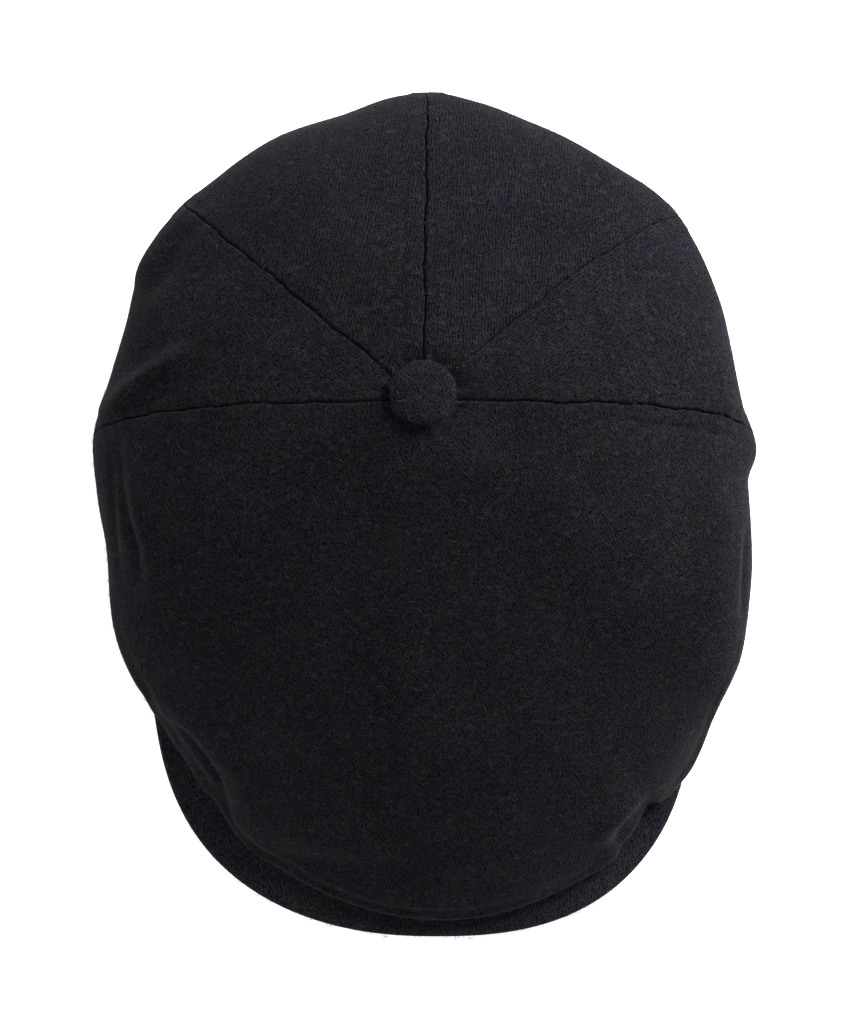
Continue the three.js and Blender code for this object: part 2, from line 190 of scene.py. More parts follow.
# Folds: the width, on the scale of the points, and the height, which is negative for a dent, of a fold
# on a line of points, which are shares of half the crown's width and length from its middle
Fold = namedtuple("Fold", "width height points")
FOLDS = {
    "right corner ridge": Fold(0.036, 2.6 * MM, (
        (0.786, -0.7), (0.742, -0.708), (0.693, -0.722), (0.643, -0.742), (0.6, -0.762),
        (0.5625, -0.788), (0.54, -0.817), (0.53, -0.85),
    )),
    "right corner pocket": Fold(0.024, -3.0 * MM, (
        (0.715, -0.722), (0.672, -0.744), (0.645, -0.77), (0.622, -0.8), (0.604, -0.83), (0.585, -0.86),
    )),
    "right corner lip": Fold(0.018, 1.7 * MM, (
        (0.685, -0.738), (0.66, -0.762), (0.641, -0.79), (0.612, -0.828), (0.567, -0.868), (0.505, -0.912),
    )),
    "left corner ridge": Fold(0.046, 3.0 * MM, (
        (-0.85, -0.45), (-0.8, -0.492), (-0.733, -0.532), (-0.677, -0.572), (-0.627, -0.615),
        (-0.58, -0.66), (-0.54, -0.7),
    )),
    "left corner valley": Fold(0.015, -2.3 * MM, (
        (-0.8, -0.525), (-0.755, -0.549), (-0.718, -0.584), (-0.683, -0.628), (-0.652, -0.672),
        (-0.63, -0.7215), (-0.6, -0.77),
    )),
    "left corner swell": Fold(0.06, 0.9 * MM, ((-0.6, -0.66), (-0.56, -0.73), (-0.535, -0.8))),
    "left fine ridge": Fold(0.012, 0.9 * MM, (
        (-0.82, -0.555), (-0.76, -0.6), (-0.71, -0.66), (-0.67, -0.73),
    )),
    "front soft ridge": Fold(0.06, 1.6 * MM, (
        (-0.6, -0.77), (-0.5, -0.811), (-0.39, -0.818), (-0.15, -0.83),
    )),
    "front hollow": Fold(0.045, -1.3 * MM, ((-0.5, -0.86), (-0.237, -0.894), (0.06, -0.906))),
    "left side crease": Fold(0.032, 3.2 * MM, (
        (-1.0, 0.205), (-0.966, 0.232), (-0.89, 0.283), (-0.7715, 0.3434), (-0.7, 0.385),
    )),
    "left side furrow": Fold(0.018, -1.5 * MM, (
        (-0.945, 0.18), (-0.935, 0.07), (-0.915, -0.02), (-0.88, -0.1), (-0.865, -0.22),
    )),
    "left side swell": Fold(0.036, 1.4 * MM, (
        (-0.9, 0.07), (-0.872, -0.03), (-0.842, -0.12), (-0.828, -0.26),
    )),
    "button dent": Fold(0.11, -1.8 * MM, ((0.15, 0.32), (0.178, 0.211), (0.19, 0.1))),
    "right side swell": Fold(0.08, 1.2 * MM, ((0.93, 0.08), (0.9, -0.1), (0.9, -0.3))),
    "left side dip": Fold(0.04, -1.8 * MM, ((-0.93, 0.2), (-0.86, 0.235), (-0.76, 0.285))),
    "left back shoulder": Fold(0.035, 1.8 * MM, (
        (-0.9, 0.53), (-0.86, 0.57), (-0.79, 0.65), (-0.7, 0.72),
    )),
    "left back dip": Fold(0.03, -1.4 * MM, ((-0.86, 0.49), (-0.81, 0.545), (-0.74, 0.61))),
    "left side outer furrow": Fold(0.013, -1.1 * MM, (
        (-0.968, 0.15), (-0.962, 0.05), (-0.955, -0.06), (-0.938, -0.18),
    )),
    "right allowance line": Fold(0.012, -0.7 * MM, (
        (0.5, 0.207), (0.7215, 0.187), (0.8557, 0.177), (0.985, 0.155),
    )),
    "right edge furrow": Fold(0.012, -1.2 * MM, ((0.974, -0.05), (0.971, -0.13), (0.967, -0.28))),
}
FOLDS_END = 1.35

# Even unevenness of worn cloth: two sizes of waves, and that of the turned front edge
BROAD_WAVE = 75 * MM
SHORT_WAVE = 34 * MM
SHORT_WAVE_SHARE = 0.4
EDGE_WAVE = 16 * MM

# Ring that the button pulls down, and its creases
RING_WIDTH = 4.4 * MM
CREASES = 17
CREASE_SHARE = 0.18

# The front panel's turned edge: how far inside the outline its roll, its groove and the ridge behind it
# lie, and their widths; and the turns between which the last two fade on the right
EDGE_LINES = ((1.0 * MM, 0.9 * MM), (3.0 * MM, 1.1 * MM), (4.8 * MM, 0.9 * MM))
EDGE_FADES = (268, 284)

# Puckers beside a seam, and the gathered line where its allowance ends
PUCKER_PITCH = 7.5 * MM
PUCKER_REACH = 4.5 * MM
ALLOWANCE_LINE = 0.9 * MM

# Distances from a seam at which a panel has a column of points
SEAM_COLUMNS = MM * np.array([0, 0.12, 0.3, 0.5, 0.75, 1.05, 1.4, 1.9, 2.6, 3.4, 4.3, 5.2, 6.1, 7.2, 8.6])
SEAM_STRAY = 0.16 * MM
ROWS_TOP = 120
ROWS_UNDER = 57
INNER_ROW_STEP = 4

# Loose fibres stand only on cloth above this height, so that none reaches through the floor, and how
# many more of them stand on each surface than on the crown
NAP_FLOOR = 5 * MM
NAP_SHARES = {"crown": 1, "peak": 3, "button": 2}


# Settings that a user would change

def length_prop(name, description, default, low, high):
    return FloatProperty(
        name=name, description=description, default=default, min=low, max=high, unit="LENGTH",
    )


def amount_prop(name, description, default, low, high):
    return FloatProperty(name=name, description=description, default=default, min=low, max=high)


def colour_prop(name, description, default):
    return FloatVectorProperty(
        name=name, description=description, default=default, size=3, subtype="COLOR", min=0, max=1,
    )


def cast_prop(name, description, default):
    return FloatVectorProperty(name=name, description=description, default=default, size=3, min=0, max=2)


class CapCrownSettings(bpy.types.PropertyGroup):
    seam_roll: length_prop(
        "Seam Roll", "Radius of the cloth where it rolls into a seam", 0.95 * MM, 0.2 * MM, 3 * MM,
    )
    allowance_width: length_prop(
        "Allowance Width", "Width of the pressed seam allowance on each side", 5.4 * MM, 2 * MM, 12 * MM,
    )
    allowance_rise: length_prop(
        "Allowance Rise", "Height that the seam allowance gives to the cloth over it", 0.42 * MM, 0, 2 * MM,
    )
    pucker: length_prop("Seam Pucker", "Height of the small puckers beside the seams", 0.16 * MM, 0, 1 * MM)
    seam_gap: length_prop(
        "Seam Gap", "Half the width of the dark line between two panels", 0.27 * MM, 0.05 * MM, 1 * MM,
    )
    edge_fold: length_prop(
        "Edge Fold", "Height of the fold that the front panel's edge is turned over", 0.6 * MM, 0, 2 * MM,
    )
    button_pull: length_prop(
        "Button Pull", "Depth to which the button pulls the cloth down round it", 2.0 * MM, 0, 4 * MM,
    )
    unevenness: length_prop(
        "Unevenness", "Height of the broad soft waves of worn cloth", 0.5 * MM, 0, 3 * MM,
    )


class CapPeakSettings(bpy.types.PropertyGroup):
    columns: IntProperty(
        name="Peak Columns", description="Columns of faces along the peak's edge", default=260, min=40,
    )
    edge_groove: length_prop(
        "Edge Groove", "Depth of the seam that closes the cloth under the peak's edge",
        0.35 * MM, 0, 1 * MM,
    )


class CapButtonSettings(bpy.types.PropertyGroup):
    gathers: IntProperty(
        name="Gathers", description="Number of gathers in the cloth under the button's edge",
        default=14, min=0,
    )
    gather_depth: length_prop("Gather Depth", "Depth of the gathers", 0.22 * MM, 0, 1 * MM)


class CapBandSettings(bpy.types.PropertyGroup):
    hem: length_prop("Hem", "Width of the band's folded hem", 5 * MM, 1 * MM, 12 * MM)
    colour: colour_prop("Band Colour", "Colour of the band's cotton tape", (0.010, 0.010, 0.011))


class CapClothSettings(bpy.types.PropertyGroup):
    wale_pitch: length_prop(
        "Wale Pitch", "Distance between two ribs of the twill", 1.05 * MM, 0.4 * MM, 4 * MM,
    )
    float_length: length_prop(
        "Float Length", "Length of one raised yarn along a rib", 1.4 * MM, 0.5 * MM, 6 * MM,
    )
    relief: length_prop("Relief", "Height of the ribs", 0.2 * MM, 0, 1 * MM)
    # Mixed by the twill's shade: painted shade between the ribs and painted light on their tops
    dark: colour_prop("Dark Wool", "Colour of the wool between the ribs", (0.0012, 0.0012, 0.0016))
    light: colour_prop("Light Wool", "Colour of the wool on top of the ribs", (0.0082, 0.0079, 0.0100))
    fibre: colour_prop("Pale Fibre", "Colour of the palest fibres in the wool", (0.040, 0.039, 0.044))
    cool_cast: cast_prop("Cool Cast", "Tint of the patches where the dye is bluer", (0.93, 0.93, 1.09))
    warm_cast: cast_prop("Warm Cast", "Tint of the patches where the dye is greyer", (1.03, 1.02, 0.95))


class CapThreadSettings(bpy.types.PropertyGroup):
    pitch: length_prop("Stitch Pitch", "Distance from one stitch to the next", 2.6 * MM, 1 * MM, 6 * MM)
    thickness: length_prop("Thread Thickness", "Diameter of the sewing thread", 0.32 * MM, 0.1 * MM, 1 * MM)
    seed: IntProperty(name="Stitch Seed", description="Seed of the stitches' unevenness", default=3)


class CapNapSettings(bpy.types.PropertyGroup):
    density: amount_prop("Nap Density", "Loose fibres on a square metre of cloth", 74000, 0, 200000)
    flank_share: amount_prop(
        "Flank Share", "How many more fibres stand on upright cloth than on flat cloth", 1.2, 0, 8,
    )
    length: length_prop("Fibre Length", "Length of a loose fibre", 2.2 * MM, 0.5 * MM, 8 * MM)
    thickness: length_prop(
        "Fibre Thickness", "Diameter of a loose fibre", 0.08 * MM, 0.01 * MM, 0.3 * MM,
    )
    seed: IntProperty(name="Nap Seed", description="Seed of the loose fibres", default=11)


class CapStageSettings(bpy.types.PropertyGroup):
    camera_height: length_prop("Camera Height", "Height of the camera over the floor", 1.7, 0.5, 5)
    lens: amount_prop("Lens", "Focal length of the camera in millimetres", 170.65, 20, 400)
    floor_size: length_prop("Floor Size", "Length of the square floor's side", 8.0, 1, 30)
    sky: amount_prop("Sky", "Strength of the even light from all round", 1.08, 0, 10)
    key_power: amount_prop("Key Light", "Power of the large lamp at the back right", 72, 0, 2000)
    high_power: amount_prop("High Light", "Power of the small lamp high at the right", 16, 0, 2000)
    rim_power: amount_prop("Rim Light", "Power of the low lamp at the back left", 6, 0, 2000)


class CapSettings(bpy.types.PropertyGroup):
    crown: PointerProperty(type=CapCrownSettings)
    peak: PointerProperty(type=CapPeakSettings)
    button: PointerProperty(type=CapButtonSettings)
    band: PointerProperty(type=CapBandSettings)
    cloth: PointerProperty(type=CapClothSettings)
    thread: PointerProperty(type=CapThreadSettings)
    nap: PointerProperty(type=CapNapSettings)
    stage: PointerProperty(type=CapStageSettings)


def settings():
    return bpy.context.scene.hunting_cap


# Shape of the crown

def smoothstep(value, low, high):
    share = np.clip((value - low) / (high - low), 0, 1)
    return share * share * (3 - 2 * share)


def lerp(start, end, share):
    return start + (end - start) * share


def bell(value, width):
    return np.exp(-((value / width) ** 2))


def around(table, column, turn):
    """Value of a table's column in any direction, on a curve that closes round the full circle."""
    turns = np.concatenate([table["turn"] - 360, table["turn"], table["turn"] + 360])
    values = np.tile(table[column], 3)
    turn = np.mod(turn, 360)
    low = np.searchsorted(turns, turn, side="right") - 1
    before, start, end, after = (turns[low + step] for step in (-1, 0, 1, 2))
    value_before, value_start, value_end, value_after = (values[low + step] for step in (-1, 0, 1, 2))
    span = end - start
    share = (turn - start) / span
    slope_start = (value_end - value_before) / (end - before) * span
    slope_end = (value_after - value_start) / (after - start) * span
    change = value_end - value_start
    square = 3 * change - 2 * slope_start - slope_end
    cube = slope_start + slope_end - 2 * change
    return value_start + share * (slope_start + share * (square + share * cube))


def ellipse_reach(turn, half_x, half_y, middle):
    """Distance from the meeting point to an ellipse round it."""
    cos, sin = np.cos(np.radians(turn)), np.sin(np.radians(turn))
    dx, dy = MEETING - middle
    a = (cos / half_x) ** 2 + (sin / half_y) ** 2
    b = 2 * (dx * cos / half_x**2 + dy * sin / half_y**2)
    c = (dx / half_x) ** 2 + (dy / half_y) ** 2 - 1
    return (-b + np.sqrt(b * b - 4 * a * c)) / (2 * a)


def crown_ellipse(turn):
    return ellipse_reach(turn, CROWN_WIDTH / 2, CROWN_LENGTH / 2, CROWN_MIDDLE)


def peak_under(x, y):
    arch = PEAK_ARCH * (1 - ((x - SOURCE_MIDDLE[0] + PEAK_SKEW) / (PEAK_WIDTH / 2)) ** 2)
    return PEAK_FOOT + arch + PEAK_SLOPE * (y - PEAK_CORNER_Y)


def rim_height(x, y):
    """Height of the crown's and the band's lower edge, on the peak or on the surface behind it."""
    on_peak = smoothstep(-y, -RIM_HEEL_Y, -(WING_Y + RIM_HOLD_BEHIND))
    return on_peak * (peak_under(x, y) + PEAK_WALL + PIECE_GAP)


def plan(turn, reach):
    return (
        MEETING[0] + reach * np.cos(np.radians(turn)),
        MEETING[1] + reach * np.sin(np.radians(turn)),
    )


def reach_of(points):
    """Distance in plan from the meeting point."""
    return np.hypot(points[..., 0] - MEETING[0], points[..., 1] - MEETING[1])


def from_front(turn):
    """Degrees between a direction and the one of the peak."""
    return np.abs(np.mod(turn - 90, 360) - 180)


def bezier(points, share):
    rest = 1 - share
    weights = (rest**3, 3 * rest**2 * share, 3 * rest * share**2, share**3)
    return [sum(weight * point[axis] for weight, point in zip(weights, points)) for axis in (0, 1)]


def smooth_crown(turn, along):
    """Points of the crown's even form, without folds, seams or weave."""
    turn, along = np.broadcast_arrays(np.asarray(turn, float), np.asarray(along, float))
    tucked = 1 - smoothstep(from_front(turn), TUCK_END, TUCK_START)
    crown_reach = crown_ellipse(turn)
    even_reach = around(PROFILES, "reach", turn) * crown_reach
    even_lift = around(PROFILES, "lift", turn) * CROWN_HEIGHT
    flat = around(PROFILES, "flat", turn) * even_reach
    fall = np.tan(np.radians(around(PROFILES, "drop", turn)))
    rounding = around(PROFILES, "round", turn)
    hole = STEM_WIDTH / 2 + STEM_CLEARANCE
    upper = (
        (hole, CROWN_HEIGHT),
        (flat, CROWN_HEIGHT - flat * fall),
        (even_reach, even_lift + rounding * (CROWN_HEIGHT - even_lift)),
        (even_reach, even_lift),
    )

    def on_peak(reach, rise=0.0):
        return peak_under(*plan(turn, reach)) + PEAK_WALL + PIECE_GAP + rise

    reach = around(OUTLINE, "reach", turn) * crown_reach
    wide = lerp(even_lift, on_peak(reach, FRONT_ROLL), tucked)
    rim_out = BAND_WALL + PIECE_GAP + CLOTH_WALL
    rim_reach = ellipse_reach(turn, OPENING_WIDTH / 2 + rim_out, OPENING_LENGTH / 2 + rim_out, OPENING)
    edge_reach = lerp(rim_reach, reach - FRONT_TUCK, tucked)
    edge = rim_height(*plan(turn, edge_reach))
    low_reach = lerp(rim_reach, reach - LOW_TUCK_SHARE * FRONT_TUCK, tucked)
    low = lerp(edge + RIM_UPRIGHT * (wide - edge), on_peak(low_reach), tucked)
    lower = (
        (reach, wide),
        (reach, wide - SIDE_UPRIGHT * (wide - low)),
        (low_reach, low),
        (edge_reach, edge),
    )

    top_share = np.minimum(along, 1)
    top_reach, top_height = bezier(upper, top_share)
    weight = top_share**WAVE_HOLD * (WAVE_HOLD + 1 - WAVE_HOLD * top_share)
    top_reach = top_reach + weight * (reach - even_reach)
    top_height = top_height + weight * (wide - even_lift)
    under_reach, under_height = bezier(lower, np.maximum(along - 1, 0))
    on_top = along <= 1
    x, y = plan(turn, np.where(on_top, top_reach, under_reach))
    return np.stack([x, y, np.where(on_top, top_height, under_height)], axis=-1)


def raised_crown(base, turn, along, lift):
    """Points moved off the crown's even form, square to it."""
    step, turned = 0.004, 0.4
    ahead = smooth_crown(turn, np.minimum(along + step, 2)) - smooth_crown(turn, np.maximum(along - step, 0))
    beside = smooth_crown(turn + turned, along) - smooth_crown(turn - turned, along)
    normal = np.cross(ahead, beside)
    return base + normal / np.linalg.norm(normal, axis=-1, keepdims=True) * lift[..., None]


def seam_turn(seam, along):
    """Direction of a seam, which strays a little to both sides of its drawn line."""
    drawn = seam.turn + seam.bend * np.minimum(along, 1) ** seam.curve
    stray = np.sin(21 * along + seam.turn) + np.sin(47 * along + 2 * seam.turn)
    stray += 0.55 * np.sin(131 * along + 3 * seam.turn)
    reach = CROWN_WIDTH / 2 * np.maximum(along, 0.2)
    return drawn + np.degrees(SEAM_STRAY * stray / reach)


def seam_closing(along):
    """Share of a seam's gap and roll that is left where the cloth is pulled tight round the widest line."""
    return 1 - 0.72 * smoothstep(along, 0.68, 1) * (1 - smoothstep(along, 1.08, 1.4))


def seam_ditch(along):
    """Depth of the ditch along a seam, which fades beside the button and below."""
    return SEAM_SINK * smoothstep(along, 0, DITCH_FULL) * (1 - smoothstep(along, DITCH_FADES, DITCH_ENDS))


def fade_near_button(along):
    return smoothstep(along, 0.02, 0.2)


def fade_near_edge(along):
    return 1 - smoothstep(along, 1.5, 1.95)


def fold_height(points, along):
    """Height that the folds give to points of the crown, fading out below the widest line."""
    half = np.array([CROWN_WIDTH / 2, CROWN_LENGTH / 2])
    scale = np.array([1, half[1] / half[0]])
    place = (points[..., :2] - CROWN_MIDDLE) / half * scale
    height = np.zeros(place.shape[:-1])
    for fold in FOLDS.values():
        line = np.array(fold.points) * scale
        runs = np.diff(line, axis=0)
        lengths = np.linalg.norm(runs, axis=1)
        passed = np.concatenate([[0], np.cumsum(lengths)])
        nearest = np.full(height.shape, np.inf)
        position = np.zeros(height.shape)
        for start, run, length, before in zip(line, runs, lengths, passed):
            offset = place - start
            share = np.clip((offset @ run) / length**2, 0, 1)
            away = np.linalg.norm(offset - share[..., None] * run, axis=-1)
            closer = away < nearest
            nearest = np.where(closer, away, nearest)
            position = np.where(closer, before + share * length, position)
        taper = 1 - np.abs(2 * position / passed[-1] - 1) ** 3
        height += fold.height * taper * bell(nearest, fold.width)
    return height * (1 - smoothstep(along, 1, FOLDS_END))


def soft_waves(points, wavelength, seed):
    """Smooth unevenness between about -1 and 1, the same on every run."""
    dice = np.random.default_rng(seed)
    total = np.zeros(points.shape[:-1])
    count = 7
    for _ in range(count):
        direction = dice.normal(size=3)
        direction *= 2 * np.pi / wavelength / np.linalg.norm(direction) * dice.uniform(0.7, 1.4)
        total += np.sin(points @ direction + dice.uniform(0, 2 * np.pi))
    return total / count * 1.6


# Meshes of cloth

def grid_faces(rows, columns, first=0, flip=False, ring=False, loop=False):
    """Quads of a grid of points that starts at one index. A ring joins its columns, a loop its rows."""
    counts = np.arange(rows if loop else rows - 1), np.arange(columns if ring else columns - 1)
    row, column = (each.ravel() for each in np.meshgrid(*counts, indexing="ij"))
    below, beside = (row + 1) % rows, (column + 1) % columns
    corners = [
        first + row * columns + column,
        first + below * columns + column,
        first + below * columns + beside,
        first + row * columns + beside,
    ]
    if flip:
        corners.reverse()
    return np.stack(corners, axis=1).tolist()


def add_object(name, mesh):
    made = bpy.data.objects.new(name, mesh)
    bpy.context.scene.collection.objects.link(made)
    return made


def make_piece(name, points, faces, flat):
    """A smooth mesh object whose UV map holds each point's place on the flat cloth, in metres."""
    mesh = bpy.data.meshes.new(name)
    mesh.from_pydata(points.reshape(-1, 3).tolist(), [], faces)
    corner = np.empty(len(mesh.loops), dtype=np.int32)
    mesh.loops.foreach_get("vertex_index", corner)
    mesh.uv_layers.new(name="cloth").data.foreach_set("uv", flat.reshape(-1, 2)[corner].ravel())
    mesh.validate()
    mesh.shade_smooth()
    mesh.set_sharp_from_angle(angle=np.radians(50))
    return add_object(name, mesh)


def wall_piece(name, outer, inner, flat):
    """Closed wall of cloth between a fine outer grid and an inner grid with fewer rows."""
    rows, columns = outer.shape[:2]
    inner = inner[::INNER_ROW_STEP]
    inner_rows = inner.shape[0]
    offset = rows * columns
    faces = grid_faces(rows, columns) + grid_faces(inner_rows, columns, offset, flip=True)
    for column in range(columns - 1):
        low, high = column, column + 1
        faces.append((low, high, offset + high, offset + low))
        last, last_inner = (rows - 1) * columns, offset + (inner_rows - 1) * columns
        faces.append((last + low, last_inner + low, last_inner + high, last + high))
    for row in range(inner_rows - 1):
        for column, turned in ((0, False), (columns - 1, True)):
            fine = [(row * INNER_ROW_STEP + i) * columns + column for i in range(INNER_ROW_STEP, -1, -1)]
            side = [offset + row * columns + column, offset + (row + 1) * columns + column]
            loop = side + fine
            faces.append(tuple(reversed(loop)) if turned else tuple(loop))
    points = np.concatenate([outer.reshape(-1, 3), inner.reshape(-1, 3)])
    flat = np.concatenate([flat.reshape(-1, 2), flat[::INNER_ROW_STEP].reshape(-1, 2)])
    return make_piece(name, points, faces, flat)


def resample(grid, row_at, column_at):
    """Values of a coarse grid at fractional rows and columns, on smooth curves through its points."""
    padded = np.pad(grid, ((1, 1), (1, 1), (0, 0)), mode="reflect", reflect_type="odd")

    def parts(at, count):
        low = np.clip(np.floor(at).astype(int), 0, count - 2)
        t = at - low
        weights = (
            (-t + 2 * t**2 - t**3) / 2,
            (2 - 5 * t**2 + 3 * t**3) / 2,
            (t + 4 * t**2 - 3 * t**3) / 2,
            (t**3 - t**2) / 2,
        )
        return low, weights

    row, row_weights = parts(row_at, grid.shape[0])
    column, column_weights = parts(column_at, grid.shape[1])
    total = 0
    for i, row_weight in enumerate(row_weights):
        for j, column_weight in enumerate(column_weights):
            total = total + (row_weight * column_weight)[..., None] * padded[row + i, column + j]
    return total


def lay_flat(points, start, rounds=500):
    """Flattens a grid of points as near as can be, each edge and diagonal keeping its length."""
    flat = start.copy()
    cells = [
        (np.s_[:-1, :], np.s_[1:, :]),
        (np.s_[:, :-1], np.s_[:, 1:]),
        (np.s_[:-1, :-1], np.s_[1:, 1:]),
        (np.s_[:-1, 1:], np.s_[1:, :-1]),
    ]
    rests = [np.linalg.norm(points[b] - points[a], axis=-1) for a, b in cells]
    counts = np.zeros(flat.shape[:2])
    for a, b in cells:
        counts[a] += 1
        counts[b] += 1
    for _ in range(rounds):
        moves = np.zeros_like(flat)
        for (a, b), rest in zip(cells, rests):
            between = flat[b] - flat[a]
            length = np.linalg.norm(between, axis=-1)
            pull = between * (0.5 * (length - rest) / np.maximum(length, 1e-9))[..., None]
            moves[a] += pull
            moves[b] -= pull
        flat += 1.2 * moves / counts[..., None]
    return flat


def flat_size(flat):
    """Width, length and area of a flattened grid."""
    a, b, c, d = flat[:-1, :-1], flat[1:, :-1], flat[1:, 1:], flat[:-1, 1:]
    across, down = c - a, d - b
    area = np.abs(across[..., 0] * down[..., 1] - across[..., 1] * down[..., 0]).sum() / 2
    width, length = flat.reshape(-1, 2).max(0) - flat.reshape(-1, 2).min(0)
    return float(width), float(length), float(area)


def panel_grid(panel, gap):
    """Turn and along of a panel's points that keep a gap from its seams, and the turns of its seams."""
    first, last = SEAMS[panel.first], SEAMS[panel.last]
    lap = 360 if last.turn < first.turn else 0
    top = np.linspace(0, 1, ROWS_TOP) ** 0.9
    under = 1 + np.linspace(0, 1, ROWS_UNDER + 1)[1:]
    along = np.concatenate([top, under])
    start = seam_turn(first, along)
    end = seam_turn(last, along) + lap
    reaches = [reach_of(smooth_crown(turn, along)) for turn in (start, end)]
    half_width = np.radians(end - start) / 2 * np.minimum(*reaches)
    fit = np.minimum(1, 0.62 * half_width / SEAM_COLUMNS[-1])
    near = fit[:, None] * (SEAM_COLUMNS + (gap * seam_closing(along))[:, None])
    left = start[:, None] + np.degrees(near / reaches[0][:, None])
    right = end[:, None] - np.degrees(near / reaches[1][:, None])[:, ::-1]
    shares = np.linspace(0, 1, panel.steps + 1)[1:-1]
    middle = lerp(left[:, -1:], right[:, :1], shares)
    turn = np.concatenate([left, middle, right], axis=1)
    return turn, along[:, None] + 0 * turn, start, end


def crown_relief(base, turn, along):
    """Height of the broad forms on the crown: folds, waves, the pull of the button and the front edge."""
    crown = settings().crown
    waves = soft_waves(base, BROAD_WAVE, 4) + SHORT_WAVE_SHARE * soft_waves(base, SHORT_WAVE, 9)
    height = fold_height(base, along)
    height += crown.unevenness * waves * fade_near_edge(along) * fade_near_button(along)

    reach = reach_of(base)
    creases = np.sin(np.radians(turn) * CREASES + 2 * np.sin(np.radians(turn) * 3))
    height -= crown.button_pull * bell(reach - BUTTON_WIDTH / 2, RING_WIDTH) * (1 + CREASE_SHARE * creases)

    in_front = 1 - smoothstep(from_front(turn), TUCK_END + 6, TUCK_START + 12)
    inside = around(OUTLINE, "reach", turn) * crown_ellipse(turn) - reach
    ridge, groove, second = (bell(inside - place, width) for place, width in EDGE_LINES)
    uneven = 1 + 0.5 * soft_waves(base, EDGE_WAVE, 14)
    left_share = 1 - 0.85 * smoothstep(np.mod(turn, 360), *EDGE_FADES)
    edge = ridge - (0.7 * groove - 0.3 * second) * left_share
    return height + crown.edge_fold * edge * uneven * in_front * (along <= 1.1)


def panel_surfaces(panel):
    """Outer and inner points of a panel, its cloth laid flat, and the flat cloth's sizes."""
    crown = settings().crown
    first, last = SEAMS[panel.first], SEAMS[panel.last]
    width = crown.allowance_width

    def base_of(gap):
        turn, along, start, end = panel_grid(panel, gap)
        base = smooth_crown(turn, along)
        reach = reach_of(base)
        from_first = np.radians(turn - start[:, None]) * reach
        from_last = np.radians(end[:, None] - turn) * reach
        distance = np.minimum(from_first, from_last)
        pressed = np.where(from_first < from_last, first.pressed, last.pressed)
        broad = crown_relief(base, turn, along) - seam_ditch(along) * bell(distance, SEAM_SINK_WIDTH)
        return turn, along, start, end, base, distance, pressed, broad

    turn, along, start, end, base, distance, pressed, broad = base_of(crown.seam_gap)
    fade_button = fade_near_button(along)
    plateau = 1 - smoothstep(distance, width - 0.8 * MM, width + 1.1 * MM)
    ridge = bell(distance - width, ALLOWANCE_LINE)
    pressed_rise = crown.allowance_rise * pressed * (0.75 * plateau + 0.5 * ridge) * fade_button
    from_meeting = np.linalg.norm(base - base[:1, :1], axis=-1)
    puckers = np.sin(from_meeting * 2 * np.pi / PUCKER_PITCH + 3 * soft_waves(base, 40 * MM, 5))
    puckers *= crown.pucker * bell(distance, PUCKER_REACH) * fade_button * fade_near_edge(along)
    roll = crown.seam_roll * seam_closing(along)
    into_roll = np.clip(roll - (distance - crown.seam_gap * seam_closing(along)), 0, roll)
    depth = roll - np.sqrt(roll**2 - into_roll**2)
    outer = raised_crown(base, turn, along, broad + pressed_rise + puckers - depth)
    flat, size = panel_cut(turn, along, start, end)

    turn, along, start, end, base, distance, pressed, broad = base_of(0)
    turned_in = 1 - smoothstep(distance, width + 1 * MM, width + 2.6 * MM)
    wall = CLOTH_WALL * (1 + 0.5 * turned_in * pressed * (1 - smoothstep(along, 1.6, 2)))
    inner = raised_crown(base, turn, along, broad - wall)
    rim = rim_height(inner[-1, :, 0], inner[-1, :, 1])
    inner[-1, :, 2] = np.maximum(inner[-1, :, 2], rim)
    return outer, inner, flat, size


def panel_cut(turn, along, start, end):
    """The panel's cloth laid flat: the place of each point on it, and its width, length and area."""
    rows, columns = 34, 40
    coarse_along = np.linspace(0, 2, rows)
    row_start = np.interp(coarse_along, along[:, 0], start)
    row_end = np.interp(coarse_along, along[:, 0], end)
    coarse_turn = lerp(row_start[:, None], row_end[:, None], np.linspace(0, 1, columns))
    points = smooth_crown(coarse_turn, coarse_along[:, None])
    steps = np.linalg.norm(np.diff(points, axis=0), axis=-1)
    hole = np.full((1, columns), STEM_WIDTH / 2 + STEM_CLEARANCE)
    run = np.concatenate([hole, hole + np.cumsum(steps, axis=0)])
    radians = np.radians(coarse_turn)
    flat = lay_flat(points, np.stack([run * np.cos(radians), run * np.sin(radians)], axis=-1))
    row_at = along / 2 * (rows - 1)
    column_at = (turn - start[:, None]) / (end - start)[:, None] * (columns - 1)
    return resample(flat, row_at, column_at), flat_size(flat)


# Node trees

def add_node(tree, kind, inputs=None, **options):
    """Adds a node. Inputs are values or the sockets that they are linked from, by name or by number."""
    node = tree.nodes.new(kind)
    for name, value in options.items():
        setattr(node, name, value)
    for key, value in (inputs or {}).items():
        if isinstance(value, bpy.types.NodeSocket):
            tree.links.new(value, node.inputs[key])
        else:
            node.inputs[key].default_value = value
    return node


def calculate(tree, operation, *values):
    """Output of a Math node on values or sockets."""
    kind = "ShaderNodeMath"
    return add_node(tree, kind, dict(enumerate(values)), operation=operation).outputs[0]


def noise(tree, place, scale, detail, roughness=0.5, distortion=0.0, dimensions="3D"):
    """Factor of a Noise texture."""
    inputs = {
        "Vector": place, "Scale": scale, "Detail": detail, "Roughness": roughness, "Distortion": distortion,
    }
    return add_node(tree, "ShaderNodeTexNoise", inputs, noise_dimensions=dimensions).outputs["Fac"]


def map_range(tree, value, start, end, low=0.0, high=1.0):
    """A value's range from start to end, mapped onto the one from low to high."""
    inputs = {"Value": value, "From Min": start, "From Max": end, "To Min": low, "To Max": high}
    return add_node(tree, "ShaderNodeMapRange", inputs).outputs[0]


def mix_colours(tree, share, start, end):
    inputs = {"Factor": share, "A": start, "B": end}
    return add_node(tree, "ShaderNodeMix", inputs, data_type="RGBA").outputs["Result"]


